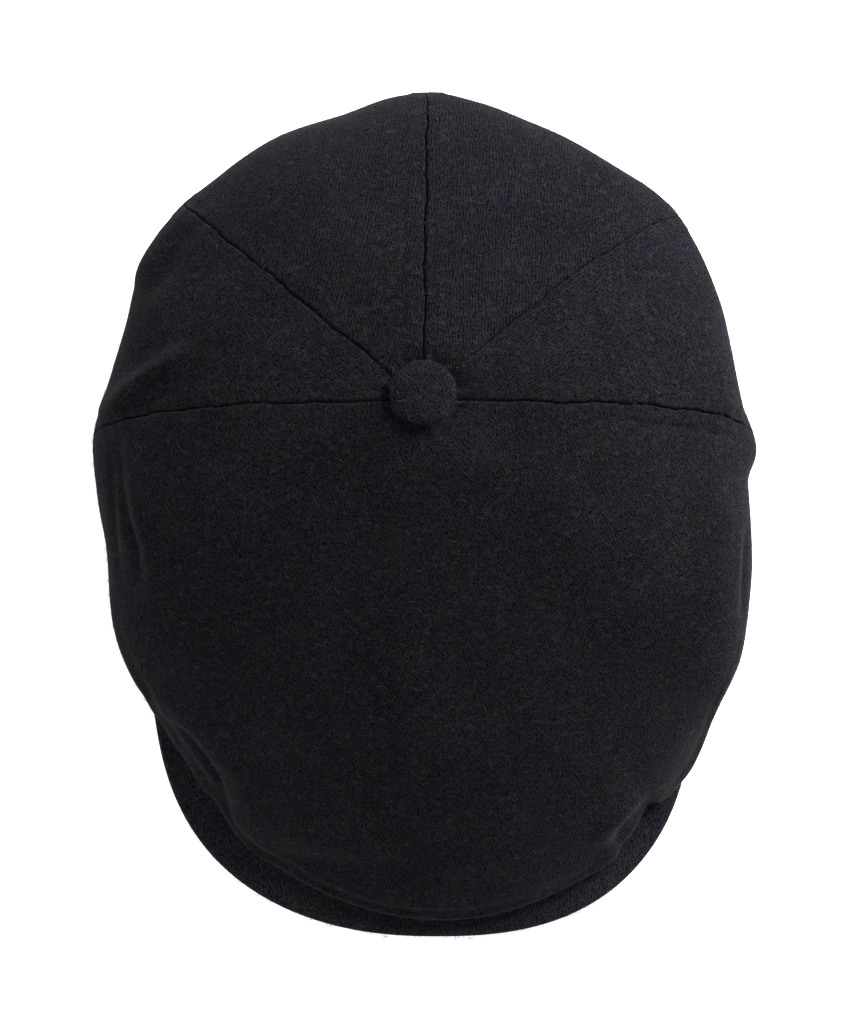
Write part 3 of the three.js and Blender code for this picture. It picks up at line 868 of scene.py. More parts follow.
def new_group(name, inputs, outputs):
    """A shader node group with its input and output nodes."""
    group = bpy.data.node_groups.new(name, "ShaderNodeTree")
    for socket_name, kind, default in inputs:
        socket = group.interface.new_socket(socket_name, in_out="INPUT", socket_type=kind)
        if default is not None:
            socket.default_value = default
    for socket_name, kind in outputs:
        group.interface.new_socket(socket_name, in_out="OUTPUT", socket_type=kind)
    return group, group.nodes.new("NodeGroupInput"), group.nodes.new("NodeGroupOutput")


def twill_group():
    """Height and shade of a twill: ribs at an angle, each a row of short raised yarns."""
    if "Wool Twill" in bpy.data.node_groups:
        return bpy.data.node_groups["Wool Twill"]
    group, given, result = new_group(
        "Wool Twill",
        [
            ("Vector", "NodeSocketVector", None),
            ("Grain Angle", "NodeSocketFloat", 90.0),
            ("Wale Pitch", "NodeSocketFloat", 1.05 * MM),
            ("Float Length", "NodeSocketFloat", 1.4 * MM),
            ("Wander", "NodeSocketFloat", 0.85),
            ("Rib Share", "NodeSocketFloat", 0.35),
            ("Contrast", "NodeSocketFloat", 2.8),
        ],
        [("Height", "NodeSocketFloat"), ("Shade", "NodeSocketFloat")],
    )
    place = given.outputs["Vector"]
    angle = calculate(group, "RADIANS", given.outputs["Grain Angle"])
    turned = add_node(
        group, "ShaderNodeVectorRotate",
        {"Vector": place, "Angle": calculate(group, "MULTIPLY", angle, -1.0)},
        rotation_type="Z_AXIS",
    )
    axes = add_node(group, "ShaderNodeSeparateXYZ", {0: turned.outputs[0]})
    drift = noise(group, place, 160.0, 2.0, dimensions="2D")
    drift_value = calculate(group, "SUBTRACT", drift, 0.5)
    sway = calculate(group, "MULTIPLY", drift_value, given.outputs["Wander"])

    across = calculate(group, "DIVIDE", axes.outputs["Y"], given.outputs["Wale Pitch"])
    across = calculate(group, "MULTIPLY_ADD", sway, 2.4, across)
    rib_number = calculate(group, "FLOOR", across)
    rib_place = calculate(group, "FRACT", across)
    rib = calculate(group, "SINE", calculate(group, "MULTIPLY", rib_place, np.pi))

    run = calculate(group, "DIVIDE", axes.outputs["X"], given.outputs["Float Length"])
    run = calculate(group, "MULTIPLY_ADD", rib_number, 0.37, run)
    run = calculate(group, "MULTIPLY_ADD", sway, 4.0, run)
    slanted = calculate(group, "MULTIPLY_ADD", rib_place, 0.45, run)
    yarn_place = calculate(group, "FRACT", slanted)
    yarn = calculate(group, "SINE", calculate(group, "MULTIPLY", yarn_place, np.pi))
    yarn = calculate(group, "POWER", yarn, 0.6)
    body = calculate(group, "MULTIPLY", rib, calculate(group, "MULTIPLY_ADD", yarn, 0.6, 0.4))

    fleck_place = add_node(
        group, "ShaderNodeCombineXYZ",
        {"X": slanted, "Y": calculate(group, "MULTIPLY", across, 1.4)},
    )
    flecks = noise(group, fleck_place.outputs[0], 1.5, 2.0, 0.6, 0.5, dimensions="2D")
    fuzz = noise(group, place, 1500.0, 2.0, 0.65, 0.8, dimensions="2D")
    woven = calculate(group, "MULTIPLY", body, given.outputs["Rib Share"])
    mixed = calculate(group, "MULTIPLY_ADD", flecks, 0.8, woven)
    height = calculate(group, "MULTIPLY_ADD", fuzz, 1.35, mixed)
    group.links.new(height, result.inputs["Height"])
    # Shade turns height into tone: painted rib shade and highlights, and the flecks' random tone
    middle = calculate(group, "MULTIPLY_ADD", given.outputs["Rib Share"], 0.5, 1.075)
    off_middle = calculate(group, "SUBTRACT", height, middle)
    shade = calculate(group, "MULTIPLY_ADD", off_middle, given.outputs["Contrast"], 0.5)
    limited = add_node(group, "ShaderNodeClamp", {"Value": shade})
    group.links.new(limited.outputs[0], result.inputs["Shade"])
    return group


def wool_fibre_group():
    """Broad mottling of the cloth and a mask of its palest fibres."""
    if "Wool Fibres" in bpy.data.node_groups:
        return bpy.data.node_groups["Wool Fibres"]
    group, given, result = new_group(
        "Wool Fibres",
        [("Vector", "NodeSocketVector", None), ("Amount", "NodeSocketFloat", 0.5)],
        [("Mottle", "NodeSocketFloat"), ("Pale", "NodeSocketFloat"), ("Cast", "NodeSocketFloat")],
    )
    place = given.outputs["Vector"]
    broad = noise(group, place, 45.0, 4.0, 0.65)
    group.links.new(broad, result.inputs["Mottle"])
    dye = noise(group, place, 130.0, 1.0)
    cast = map_range(group, dye, 0.4, 0.6)
    group.links.new(cast, result.inputs["Cast"])
    hair = noise(group, place, 760.0, 2.0, 0.5, 2.6)
    line = calculate(group, "ABSOLUTE", calculate(group, "SUBTRACT", hair, 0.5))
    thin = map_range(group, line, 0.0, 0.035, 1.0, 0.0)
    patches = noise(group, place, 420.0, 1.0)
    where = map_range(group, patches, 0.54, 0.7)
    pale = calculate(group, "MULTIPLY", thin, where)
    group.links.new(calculate(group, "MULTIPLY", pale, given.outputs["Amount"]), result.inputs["Pale"])
    return group


def colour(values):
    return (*values, 1.0)


def new_material(name, **values):
    """A material, its node tree and its shader, with values for the shader's sockets."""
    material = bpy.data.materials.new(name)
    material.use_nodes = True
    shader = material.node_tree.nodes["Principled BSDF"]
    for socket, value in values.items():
        shader.inputs[socket.replace("_", " ")].default_value = value
    return material, material.node_tree, shader


def cloth_twill(tree, **values):
    """The twill's outputs on a piece's flat cloth."""
    flat = add_node(tree, "ShaderNodeUVMap", uv_map="cloth").outputs["UV"]
    inputs = {name.replace("_", " "): value for name, value in values.items()}
    return add_node(tree, "ShaderNodeGroup", {"Vector": flat, **inputs}, node_tree=twill_group()).outputs


def wool_material(name, grain, pitch_share=1.0, lift=1.0, ribs=0.25, contrast=2.8, sheen=0.038):
    """Wool twill with its ribs at one angle on the flat cloth, its colours scaled by a lift."""
    cloth = settings().cloth
    material, tree, shader = new_material(
        name, Specular_IOR_Level=0.02, Sheen_Weight=sheen, Sheen_Roughness=0.25,
        Sheen_Tint=(0.88, 0.86, 0.96, 1.0),
    )
    twill = cloth_twill(
        tree, Grain_Angle=grain, Wale_Pitch=cloth.wale_pitch * pitch_share,
        Float_Length=cloth.float_length * pitch_share, Rib_Share=ribs, Contrast=contrast,
    )
    place = add_node(tree, "ShaderNodeTexCoord").outputs["Object"]
    fibres = add_node(
        tree, "ShaderNodeGroup", {"Vector": place, "Amount": 0.5}, node_tree=wool_fibre_group(),
    ).outputs
    # The lift scales the wool's colours; the peak's lift is painted light
    dark, light = (colour([lift * value for value in wool]) for wool in (cloth.dark, cloth.light))
    # Mixed by the twill's shade: painted shade between the ribs and painted light on their tops
    ribs_with_painted_shade = mix_colours(tree, twill["Shade"], dark, light)
    mottle = map_range(tree, fibres["Mottle"], 0.3, 0.7, 0.8, 1.2)
    mottled = add_node(tree, "ShaderNodeVectorMath", {0: ribs_with_painted_shade, "Scale": mottle}, operation="SCALE")
    cast = mix_colours(tree, fibres["Cast"], colour(cloth.cool_cast), colour(cloth.warm_cast))
    dyed = add_node(tree, "ShaderNodeVectorMath", {0: mottled.outputs[0], 1: cast}, operation="MULTIPLY")
    finished = mix_colours(tree, fibres["Pale"], dyed.outputs[0], colour(cloth.fibre))
    tree.links.new(finished, shader.inputs["Base Color"])
    roughness = map_range(tree, twill["Shade"], 0.0, 1.0, 0.98, 0.86)
    tree.links.new(roughness, shader.inputs["Roughness"])
    bump = {"Strength": 0.9, "Distance": cloth.relief * 1.6, "Height": twill["Height"]}
    tree.links.new(add_node(tree, "ShaderNodeBump", bump).outputs["Normal"], shader.inputs["Normal"])
    return material


def tape_material():
    """Closely woven cotton tape of the head band."""
    material, tree, shader = new_material("band cotton tape", Roughness=0.8, Specular_IOR_Level=0.2)
    twill = cloth_twill(
        tree, Grain_Angle=90.0, Wale_Pitch=0.8 * MM, Float_Length=1.6 * MM, Wander=0.08, Rib_Share=1.6,
        Contrast=0.6,
    )
    band = settings().band
    # Mixed by the twill's shade: painted shade between the tape's ribs and painted light on their tops
    dark, light = (colour([share * value for value in band.colour]) for share in (0.5, 1.5))
    tree.links.new(mix_colours(tree, twill["Shade"], dark, light), shader.inputs["Base Color"])
    bump = {"Strength": 0.7, "Distance": 0.15 * MM, "Height": twill["Height"]}
    tree.links.new(add_node(tree, "ShaderNodeBump", bump).outputs["Normal"], shader.inputs["Normal"])
    return material


def thread_material():
    """Sewing thread, twisted, slightly glossy and near-black, darkened further as painted seam shade."""
    material, tree, shader = new_material("sewing thread", Roughness=0.85, Specular_IOR_Level=0.02)
    place = add_node(tree, "ShaderNodeTexCoord").outputs["Object"]
    twist = noise(tree, place, 3500.0, 1.0)
    # Near-black thread, darker than the wool: painted shade in the seam grooves
    tint = mix_colours(tree, twist, (0.0006, 0.0006, 0.0009, 1.0), (0.0022, 0.0022, 0.0028, 1.0))
    tree.links.new(tint, shader.inputs["Base Color"])
    return material


def nap_material():
    """Loose wool fibres, most of them dark and a few pale."""
    cloth = settings().cloth
    material, tree, shader = new_material("loose wool fibres", Roughness=0.75, Specular_IOR_Level=0.2)
    place = add_node(tree, "ShaderNodeTexCoord").outputs["Object"]
    share = map_range(tree, noise(tree, place, 380.0, 1.0), 0.5, 0.75)
    tint = mix_colours(tree, share, colour(cloth.light), colour(cloth.fibre))
    tree.links.new(tint, shader.inputs["Base Color"])
    return material


def new_geometry_tree(name, inputs):
    """A Geometry Nodes tree with a geometry input, named inputs and a geometry output."""
    tree = bpy.data.node_groups.new(name, "GeometryNodeTree")
    tree.interface.new_socket("Geometry", in_out="INPUT", socket_type="NodeSocketGeometry")
    for socket_name, kind in inputs:
        tree.interface.new_socket(socket_name, in_out="INPUT", socket_type=kind)
    tree.interface.new_socket("Geometry", in_out="OUTPUT", socket_type="NodeSocketGeometry")
    return tree, tree.nodes.new("NodeGroupInput"), tree.nodes.new("NodeGroupOutput")


def bake_tree(name, mesh, tree, values):
    """Runs a Geometry Nodes tree on a mesh and returns its result as an object of plain mesh."""
    source = add_object(name + "_source", mesh)
    modifier = source.modifiers.new(name, "NODES")
    modifier.node_group = tree
    for item in tree.interface.items_tree:
        if item.in_out == "INPUT" and item.name in values:
            modifier[item.identifier] = values[item.name]
    evaluated = source.evaluated_get(bpy.context.evaluated_depsgraph_get())
    result = bpy.data.meshes.new_from_object(evaluated)
    result.name = name
    source.modifiers.remove(modifier)
    bpy.data.objects.remove(source)
    return add_object(name, result)


def vector(tree, **parts):
    return add_node(tree, "ShaderNodeCombineXYZ", parts).outputs[0]


def bent_strand(tree, start, middle, end, steps, sides, thickness):
    """Mesh of a short bent length of thread or fibre."""
    bend = {"Resolution": steps, "Start": start, "Middle": middle, "End": end}
    line = add_node(tree, "GeometryNodeCurveQuadraticBezier", bend)
    radius = calculate(tree, "MULTIPLY", thickness, 0.5)
    section = add_node(
        tree, "GeometryNodeCurvePrimitiveCircle", {"Resolution": sides, "Radius": radius}, mode="RADIUS",
    )
    swept = {"Curve": line.outputs[0], "Profile Curve": section.outputs[0], "Fill Caps": True}
    return add_node(tree, "GeometryNodeCurveToMesh", swept).outputs["Mesh"]


def put_on_points(tree, result, points, strand, rotation, least, most, seed, material):
    """Ends a tree with a strand on every point, each in its own size, as real mesh with a material."""
    size = add_node(tree, "FunctionNodeRandomValue", {2: least, 3: most, "Seed": seed}, data_type="FLOAT")
    placed = add_node(
        tree, "GeometryNodeInstanceOnPoints",
        {"Points": points, "Instance": strand, "Rotation": rotation, "Scale": size.outputs[1]},
    )
    real = add_node(tree, "GeometryNodeRealizeInstances", {0: placed.outputs[0]})
    finish = add_node(tree, "GeometryNodeSetMaterial", {0: real.outputs[0], "Material": material})
    tree.links.new(finish.outputs[0], result.inputs[0])


def stitch_tree():
    """Stitches on lines: a short rounded length of thread for each step of the needle."""
    tree, given, result = new_geometry_tree(
        "Seam Stitches",
        [
            ("Pitch", "NodeSocketFloat"),
            ("Thickness", "NodeSocketFloat"),
            ("Cover", "NodeSocketFloat"),
            ("Seed", "NodeSocketInt"),
            ("Thread", "NodeSocketMaterial"),
        ],
    )
    given = given.outputs
    lines = add_node(tree, "GeometryNodeMeshToCurve", {"Mesh": given["Geometry"]}).outputs[0]
    spaced = add_node(
        tree, "GeometryNodeResampleCurve", {"Curve": lines, "Length": given["Pitch"]}, mode="LENGTH",
    )
    needle = {"Curve": spaced.outputs[0]}
    points = add_node(tree, "GeometryNodeCurveToPoints", needle, mode="EVALUATED").outputs
    half = calculate(tree, "MULTIPLY", calculate(tree, "MULTIPLY", given["Pitch"], given["Cover"]), 0.5)
    back = vector(tree, Z=calculate(tree, "MULTIPLY", half, -1.0))
    rise = vector(tree, X=calculate(tree, "MULTIPLY", given["Thickness"], 0.9))
    thread = bent_strand(tree, back, rise, vector(tree, Z=half), 4, 5, given["Thickness"])
    put_on_points(
        tree, result, points["Points"], thread, points["Rotation"], 0.8, 1.12,
        given["Seed"], given["Thread"],
    )
    return tree


def nap_tree():
    """Loose fibres on cloth: short bent hairs that lean every way over the faces they stand on."""
    tree, given, result = new_geometry_tree(
        "Wool Nap",
        [
            ("Density", "NodeSocketFloat"),
            ("Flank Share", "NodeSocketFloat"),
            ("Length", "NodeSocketFloat"),
            ("Thickness", "NodeSocketFloat"),
            ("Seed", "NodeSocketInt"),
            ("Fibre", "NodeSocketMaterial"),
        ],
    )
    given = given.outputs
    normal = add_node(tree, "GeometryNodeInputNormal").outputs[0]
    facing = add_node(tree, "ShaderNodeSeparateXYZ", {0: normal})
    upright = calculate(tree, "SUBTRACT", 1.0, calculate(tree, "ABSOLUTE", facing.outputs["Z"]))
    flank = calculate(tree, "MULTIPLY_ADD", upright, given["Flank Share"], 1.0)
    density = calculate(tree, "MULTIPLY", given["Density"], flank)
    points = add_node(
        tree, "GeometryNodeDistributePointsOnFaces",
        {"Mesh": given["Geometry"], "Density": density, "Seed": given["Seed"]},
        distribute_method="RANDOM",
    ).outputs

    def shares(forward, up):
        across = calculate(tree, "MULTIPLY", given["Length"], forward)
        return vector(tree, X=across, Z=calculate(tree, "MULTIPLY", given["Length"], up))

    fibre = bent_strand(tree, (0, 0, 0), shares(0.3, 0.55), shares(0.95, 0.1), 2, 3, given["Thickness"])
    spin = add_node(
        tree, "FunctionNodeRandomValue",
        {0: (-0.45, -0.45, 0.0), 1: (0.45, 0.45, 6.283), "Seed": given["Seed"]},
        data_type="FLOAT_VECTOR",
    )
    turned = add_node(
        tree, "FunctionNodeRotateRotation",
        {"Rotation": points["Rotation"], "Rotate By": spin.outputs[0]}, rotation_space="LOCAL",
    )
    seed = add_node(tree, "FunctionNodeIntegerMath", {0: given["Seed"], 1: 7}, operation="ADD")
    put_on_points(
        tree, result, points["Points"], fibre, turned.outputs[0], 0.35, 1.3,
        seed.outputs[0], given["Fibre"],
    )
    return tree


def dress(piece, material=None, node=None):
    """Gives a finished piece its material, puts it under the root body and hides the solid that it stands
    for.
    """
    if material:
        piece.data.materials.clear()
        piece.data.materials.append(material)
    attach(piece, "root")
    if node:
        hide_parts(node)


# Operators

class CAP_OT_crown(bpy.types.Operator):
    """Build the five panels of the crown"""

    bl_idname = "hunting_cap.crown"
    bl_label = "Crown Panels"

    def execute(self, context):
        for name, panel in PANELS.items():
            outer, inner, flat, (width, length, area) = panel_surfaces(panel)
            piece = wall_piece(name + "_cloth", outer, inner, flat)
            wool = wool_material(name + " wool", panel.grain, ribs=panel.ribs)
            dress(piece, wool, name)
        return {"FINISHED"}


def opening_curve(turn, out):
    """Point of the head opening's edge, its angle counted from the front."""
    return np.stack(
        [
            OPENING[0] + (OPENING_WIDTH / 2 + out) * np.sin(np.radians(turn)),
            OPENING[1] - (OPENING_LENGTH / 2 + out) * np.cos(np.radians(turn)),
        ],
        axis=-1,
    )


def spaced_points(points, count):
    """Points at even distances on a line of close points."""
    lengths = np.concatenate([[0], np.cumsum(np.linalg.norm(np.diff(points, axis=0), axis=1))])
    at = np.linspace(0, lengths[-1], count)
    return np.stack([np.interp(at, lengths, points[:, axis]) for axis in (0, 1)], axis=1)


def peak_outlines(count):
    """Inner and outer outline of the peak, from the left wing round the tip to the right wing."""
    half = PEAK_WIDTH / 2
    wing_turn = np.degrees(np.arccos((OPENING[1] - WING_Y) / (OPENING_LENGTH / 2)))
    inner = opening_curve(np.linspace(-wing_turn, wing_turn, 400), 0)
    wing_x = opening_curve(wing_turn, 0)[0] - OPENING[0] + WING_END_WIDTH
    turn = np.linspace(-90 - WING_CORNER, 90 + WING_CORNER, 3000)
    side = np.sign(turn)
    past = np.radians(np.maximum(np.abs(turn) - 90, 0))
    front = np.radians(np.clip(turn, -90, 90))
    forward = np.maximum(np.cos(front), 0) ** (2 / PEAK_SQUARENESS)
    front_x = side * half * np.abs(np.sin(front)) ** (2 / PEAK_SQUARENESS)
    front_x += PEAK_LEAN * forward**LEAN_SHARPNESS - PEAK_SKEW * (1 - forward) ** LEAN_SHARPNESS
    wing_line = side * (wing_x + (half - wing_x) * np.cos(past)) - PEAK_SKEW * np.cos(past)
    wing = past > 0
    x = np.where(wing, wing_line, front_x) + SOURCE_MIDDLE[0]
    wing_depth = lerp(PEAK_CORNER_Y, WING_Y, np.sin(past))
    y = np.where(wing, wing_depth, PEAK_CORNER_Y - PEAK_LENGTH * forward)
    return spaced_points(inner, count), spaced_points(np.stack([x, y], axis=1), count)


class CAP_OT_peak(bpy.types.Operator):
    """Build the peak: a board covered with wool on both sides, closed under its edge"""

    bl_idname = "hunting_cap.peak"
    bl_label = "Peak"

    def execute(self, context):
        peak = settings().peak
        inner, outer = peak_outlines(peak.columns)
        away = outer - inner
        width = np.linalg.norm(away, axis=1, keepdims=True)
        away /= width
        radius = PEAK_WALL / 2
        turns = np.radians(np.linspace(90, -90, PEAK_EDGE_ROWS + 2))[1:-1]
        top_share = np.linspace(0, 1, PEAK_TOP_ROWS)
        under_share = np.linspace(1, 0, PEAK_UNDER_ROWS)
        rows, flats = [], []

        def row(reach, height, unrolled):
            at = inner + away * reach
            under = peak_under(at[:, 0], at[:, 1])
            waves = PEAK_WAVE_HEIGHT * soft_waves(np.column_stack([at, under]), PEAK_WAVE, 21)
            waves *= smoothstep(under, 0.5 * MM, 5 * MM)
            z = np.maximum(under + radius + height + waves, 0.02 * MM)
            rows.append(np.column_stack([at, z]))
            flats.append(inner + away * unrolled)

        for share in top_share:
            row(share * (width - radius), radius, share * (width - radius))
        for turn in turns:
            groove = peak.edge_groove * bell(np.degrees(turn) - PEAK_SEAM_TURN, PEAK_SEAM_WIDTH)
            reach = width - radius + (radius - groove) * np.cos(turn)
            row(reach, (radius - groove) * np.sin(turn), width - radius + radius * (np.pi / 2 - turn))
        for share in under_share:
            row(share * (width - radius), -radius, share * (width - radius))
        points, flat = np.array(rows), np.array(flats)
        count, columns = points.shape[:2]
        faces = grid_faces(count, columns, loop=True)
        loop = [i * columns for i in range(count)]
        faces.append(tuple(reversed(loop)))
        faces.append(tuple(index + columns - 1 for index in loop))
        piece = make_piece("peak_cloth", points, faces, flat)
        # Lift 1.65 is painted light: lighter wool that makes up for the crown's shade on the peak
        wool = wool_material("peak wool", 98, lift=1.65, ribs=0.26, contrast=3.8)
        dress(piece, wool, "peak")
        return {"FINISHED"}


class CAP_OT_button(bpy.types.Operator):
    """Build the covered button with its gathered cloth"""

    bl_idname = "hunting_cap.button"
    bl_label = "Button"

    def execute(self, context):
        button = settings().button
        half = BUTTON_WIDTH / 2
        seat = CROWN_HEIGHT + PIECE_GAP
        stem = STEM_WIDTH / 2
        columns = 96
        turn = np.linspace(0, 2 * np.pi, columns, endpoint=False)
        dome = np.radians(np.linspace(2, 90, 22))
        side = np.radians(np.linspace(90, 152, 12))[1:]
        edge = BUTTON_EDGE * BUTTON_RISE
        rows = [(half * np.sin(a), edge + (BUTTON_RISE - edge) * np.cos(a)) for a in dome]
        rows += [(half * np.sin(a), edge * (1 + 1.13 * np.cos(a))) for a in side]
        rows += [(0.42 * half, 0.0), (stem, 0.0)]
        fall = np.tan(np.radians(BUTTON_TILT))
        points, flats = [], []
        run, before = 0.0, (0.0, BUTTON_RISE)
        for radius, height in rows:
            run += np.hypot(radius - before[0], height - before[1])
            before = (radius, height)
            low = 1 - smoothstep(height, 0.02 * BUTTON_RISE, 0.5 * BUTTON_RISE)
            gathers = np.maximum(np.sin(button.gathers * turn + 1.3 * np.sin(3 * turn)), 0) ** 2
            bulge = 1 + 0.012 * np.sin(2 * turn + 0.6) + 0.008 * np.sin(5 * turn)
            out = radius * bulge - button.gather_depth * low * gathers * (radius > 0.5 * half)
            lump = 0.12 * MM * np.sin(3 * turn + 1) * radius / half
            back = BUTTON_SHORTER * out * np.sin(turn) + BUTTON_OFFSET
            z = seat + np.minimum(height + lump * (height > 0), BUTTON_RISE) - fall * back
            points.append(np.column_stack([MEETING[0] + out * np.cos(turn), MEETING[1] + back, z]))
            flats.append(np.column_stack([run * np.cos(turn), run * np.sin(turn)]))
        for height in (-1.5 * MM, -4.4 * MM):
            ring = np.column_stack([
                MEETING[0] + stem * np.cos(turn), MEETING[1] + stem * np.sin(turn),
                np.full(columns, seat + height),
            ])
            points.append(ring)
            run += 2 * MM
            flats.append(np.column_stack([run * np.cos(turn), run * np.sin(turn)]))
        grid, flat = np.array(points), np.array(flats)
        faces = grid_faces(len(grid), columns, ring=True)
        every = grid.reshape(-1, 3)
        crest, foot = len(every), len(every) + 1
        every = np.vstack([every, grid[0].mean(0) + [0, 0, 0.01 * MM], grid[-1].mean(0)])
        flat = np.vstack([flat.reshape(-1, 2), [[0, 0], [run, 0]]])
        last = (len(grid) - 1) * columns
        for j in range(columns):
            beside = (j + 1) % columns
            faces.append((crest, j, beside))
            faces.append((foot, last + beside, last + j))
        piece = make_piece("button_cloth", every, faces, flat)
        wool = wool_material("button wool", 128, pitch_share=0.9, lift=1.1, sheen=0.01)
        dress(piece, wool, "button")
        return {"FINISHED"}


class CAP_OT_head_band(bpy.types.Operator):
    """Build the cotton band round the head opening, with its folded hems"""

    bl_idname = "hunting_cap.head_band"
    bl_label = "Head Band"

    def execute(self, context):
        band = settings().band
        columns = 300
        turn = np.linspace(0, 360, columns, endpoint=False)
        half = BAND_WALL / 2
        middle = opening_curve(turn, half)
        foot = rim_height(middle[:, 0], middle[:, 1])
        step = np.linalg.norm(np.roll(middle, -1, axis=0) - middle, axis=1)
        round_run = np.concatenate([[0], np.cumsum(step)[:-1]])
        round_top = np.radians(np.linspace(0, 180, 9))
        levels = [(half * np.cos(a), BAND_HEIGHT - half + half * np.sin(a)) for a in round_top]
        heights = np.linspace(BAND_HEIGHT - half, half, 34)[1:-1]
        hems = [0.35 * MM * (smoothstep(h, BAND_HEIGHT - band.hem, BAND_HEIGHT - band.hem + 0.6 * MM)
                             + 1 - smoothstep(h, band.hem - 0.6 * MM, band.hem)) for h in heights]
        levels += [(-half + 0.35 * MM - hem, h) for h, hem in zip(heights, hems)]
        levels += [(half * np.cos(np.pi + a), half - half * np.sin(a)) for a in round_top]
        levels += [(half, h) for h in heights[::-1]]
        rows, flats = [], []
        run, before = 0.0, levels[0]
        for out, height in levels:
            run += np.hypot(out - before[0], height - before[1])
            before = (out, height)
            at = opening_curve(turn, half + out)
            wave = 0.25 * MM * soft_waves(np.column_stack([at, 0 * foot + height]), 50 * MM, 31)
            at = opening_curve(turn, half + out + np.minimum(wave, 0))
            rows.append(np.column_stack([at, foot + height]))
            flats.append(np.column_stack([round_run, np.full(columns, run)]))
        grid, flat = np.array(rows), np.array(flats)
        faces = grid_faces(len(grid), columns, flip=True, ring=True, loop=True)
        piece = make_piece("head_band_tape", grid, faces, flat)
        dress(piece, tape_material(), "head_band")
        return {"FINISHED"}


def seam_line(seam, sink, count=220):
    """Points down a seam, sunk into its groove."""
    along = np.linspace(0.12, 1.9, count)
    turn = seam_turn(seam, along)
    base = smooth_crown(turn, along)
    return raised_crown(base, turn, along, crown_relief(base, turn, along) - seam_ditch(along) - sink)


def line_mesh(name, lines, closed=False):
    points, edges = [], []
    for line in lines:
        first = len(points)
        points += [tuple(point) for point in line]
        edges += [(i, i + 1) for i in range(first, len(points) - 1)]
        if closed:
            edges.append((len(points) - 1, first))
    mesh = bpy.data.meshes.new(name)
    mesh.from_pydata(points, edges, [])
    return mesh


class CAP_OT_stitches(bpy.types.Operator):
    """Sew the crown's seams and the band's upper hem"""

    bl_idname = "hunting_cap.stitches"
    bl_label = "Stitches"

    def execute(self, context):
        thread = settings().thread
        material = thread_material()
        tree = stitch_tree()
        values = {
            "Pitch": thread.pitch, "Thickness": thread.thickness, "Cover": 0.8,
            "Seed": thread.seed, "Thread": material,
        }
        lines = [seam_line(seam, settings().crown.seam_roll + 0.35 * MM) for seam in SEAMS.values()]
        seams = bake_tree("seam_stitches", line_mesh("seam lines", lines), tree, values)
        dress(seams)

        turn = np.linspace(0, 360, 400, endpoint=False)
        inside = opening_curve(turn, -0.05 * MM)
        foot = rim_height(inside[:, 0], inside[:, 1])
        hems = [
            np.column_stack([inside, foot + height])
            for height in (settings().band.hem - 1.4 * MM, BAND_HEIGHT - settings().band.hem + 1.4 * MM)
        ]
        hem = bake_tree("band_stitches", line_mesh("hem lines", hems, closed=True), tree, values)
        dress(hem)
        return {"FINISHED"}


class CAP_OT_nap(bpy.types.Operator):
    """Raise the loose fibres of the wool on the crown, the peak and the button"""

    bl_idname = "hunting_cap.nap"
    bl_label = "Nap"

    def execute(self, context):
        nap = settings().nap
        material = nap_material()
        tree = nap_tree()
        for name, share in NAP_SHARES.items():
            values = {
                "Density": share * nap.density, "Flank Share": nap.flank_share, "Length": nap.length,
                "Thickness": nap.thickness, "Seed": nap.seed, "Fibre": material,
            }
            fibres = bake_tree(name + "_nap", self.outer_faces(name), tree, values)
            dress(fibres)
        return {"FINISHED"}

    def outer_faces(self, name):
        """Faces of the dressed pieces that face outwards, as one mesh."""
        pieces = {
            "crown": [panel + "_cloth" for panel in PANELS],
            "peak": ["peak_cloth"],
            "button": ["button_cloth"],
        }[name]
        points, faces = [], []
        for piece in pieces:
            mesh = bpy.data.objects[piece].data
            place = np.empty(len(mesh.vertices) * 3)
            mesh.vertices.foreach_get("co", place)
            place = place.reshape(-1, 3)
            outer_rows = ROWS_TOP + ROWS_UNDER
            first = len(points)
            points += place.tolist()
            for polygon in mesh.polygons:
                if len(polygon.vertices) != 4:
                    continue
                if name == "crown" and max(polygon.vertices) >= outer_rows * self.columns(piece):
                    continue
                if name != "crown" and polygon.normal.z < -0.5:
                    continue
                if polygon.center.z < NAP_FLOOR:
                    continue
                faces.append([first + vertex for vertex in polygon.vertices])
        mesh = bpy.data.meshes.new(name + " outside")
        mesh.from_pydata(points, [], faces)
        return mesh

    def columns(self, piece):
        return PANELS[piece.removesuffix("_cloth")].steps - 1 + 2 * len(SEAM_COLUMNS)


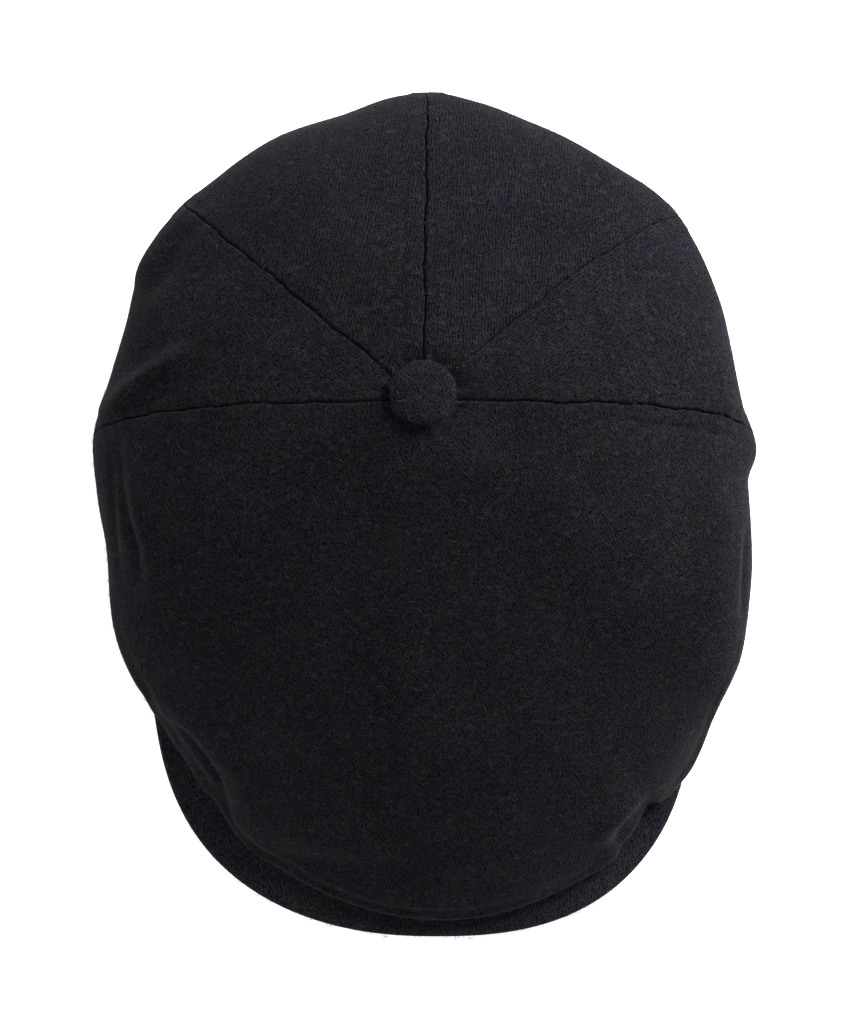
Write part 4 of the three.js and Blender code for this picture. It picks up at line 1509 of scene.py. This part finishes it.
class CAP_OT_stage(bpy.types.Operator):
    """Set up the pale floor, the studio light and the camera over the cap"""

    bl_idname = "hunting_cap.stage"
    bl_label = "Stage"

    def execute(self, context):
        stage = settings().stage
        scene = bpy.context.scene
        half = stage.floor_size / 2
        mesh = bpy.data.meshes.new("floor")
        corners = [(-half, -half, 0), (half, -half, 0), (half, half, 0), (-half, half, 0)]
        mesh.from_pydata(corners, [], [(0, 1, 2, 3)])
        floor = add_object("floor", mesh)
        floor.data.materials.append(self.floor_material())

        world = bpy.data.worlds.new("studio")
        world.use_nodes = True
        world.node_tree.nodes["Background"].inputs["Color"].default_value = (1.0, 1.0, 1.0, 1.0)
        world.node_tree.nodes["Background"].inputs["Strength"].default_value = stage.sky
        scene.world = world
        self.lamp("key", (0.98, 1.05, 0.5), 0.8, stage.key_power)
        self.lamp("high", (0.62, 0.6, 1.2), 0.3, stage.high_power)
        self.lamp("rim", (-1.15, 0.6, 0.22), 0.5, stage.rim_power)

        camera = bpy.data.cameras.new("camera")
        camera.lens = stage.lens
        camera.sensor_width = 36.0
        view = add_object("camera", camera)
        view.location = (SOURCE_MIDDLE[0], SOURCE_MIDDLE[1], stage.camera_height)
        scene.camera = view
        scene.view_settings.view_transform = "Standard"
        return {"FINISHED"}

    def lamp(self, name, place, size, power):
        light = bpy.data.lights.new(name, "AREA")
        light.shape = "DISK"
        light.size = size
        light.energy = power
        lamp = add_object(name, light)
        lamp.location = place
        aim = Vector((0, 0, CROWN_HEIGHT / 2)) - lamp.location
        lamp.rotation_euler = aim.to_track_quat("-Z", "Y").to_euler()

    def floor_material(self):
        material, tree, shader = new_material(
            "pale floor", Roughness=0.9, Specular_IOR_Level=0.1, Emission_Color=colour((1.0, 1.0, 1.0)),
            Emission_Strength=0.45,
        )
        place = add_node(tree, "ShaderNodeTexCoord").outputs["Object"]
        grain = noise(tree, place, 6.0, 3.0)
        tint = mix_colours(tree, grain, (0.94, 0.94, 0.94, 1.0), (0.97, 0.97, 0.97, 1.0))
        tree.links.new(tint, shader.inputs["Base Color"])
        return material


OPERATORS = (
    CAP_OT_stage,
    CAP_OT_crown,
    CAP_OT_peak,
    CAP_OT_button,
    CAP_OT_head_band,
    CAP_OT_stitches,
    CAP_OT_nap,
)

SETTINGS = (
    CapCrownSettings,
    CapPeakSettings,
    CapButtonSettings,
    CapBandSettings,
    CapClothSettings,
    CapThreadSettings,
    CapNapSettings,
    CapStageSettings,
    CapSettings,
)


class CAP_PT_sidebar(bpy.types.Panel):
    """Buttons and settings of the cap in the 3D view's sidebar"""

    bl_idname = "CAP_PT_sidebar"
    bl_label = "Hunting Cap"
    bl_space_type = "VIEW_3D"
    bl_region_type = "UI"
    bl_category = "Cap"

    def draw(self, context):
        layout = self.layout
        for operator in OPERATORS:
            layout.operator(operator.bl_idname)
        for group in CapSettings.__annotations__:
            box = layout.box()
            values = getattr(context.scene.hunting_cap, group)
            for name in type(values).__annotations__:
                box.prop(values, name)


def register():
    for each in (*SETTINGS, *OPERATORS, CAP_PT_sidebar):
        bpy.utils.register_class(each)
    bpy.types.Scene.hunting_cap = PointerProperty(type=CapSettings)


def unregister():
    del bpy.types.Scene.hunting_cap
    for each in reversed((*SETTINGS, *OPERATORS, CAP_PT_sidebar)):
        bpy.utils.unregister_class(each)


def main():
    register()
    bpy.ops.hunting_cap.stage()
    bpy.ops.hunting_cap.crown()
    bpy.ops.hunting_cap.peak()
    bpy.ops.hunting_cap.button()
    bpy.ops.hunting_cap.head_band()
    bpy.ops.hunting_cap.stitches()
    bpy.ops.hunting_cap.nap()


if __name__ == "__main__":
    main()
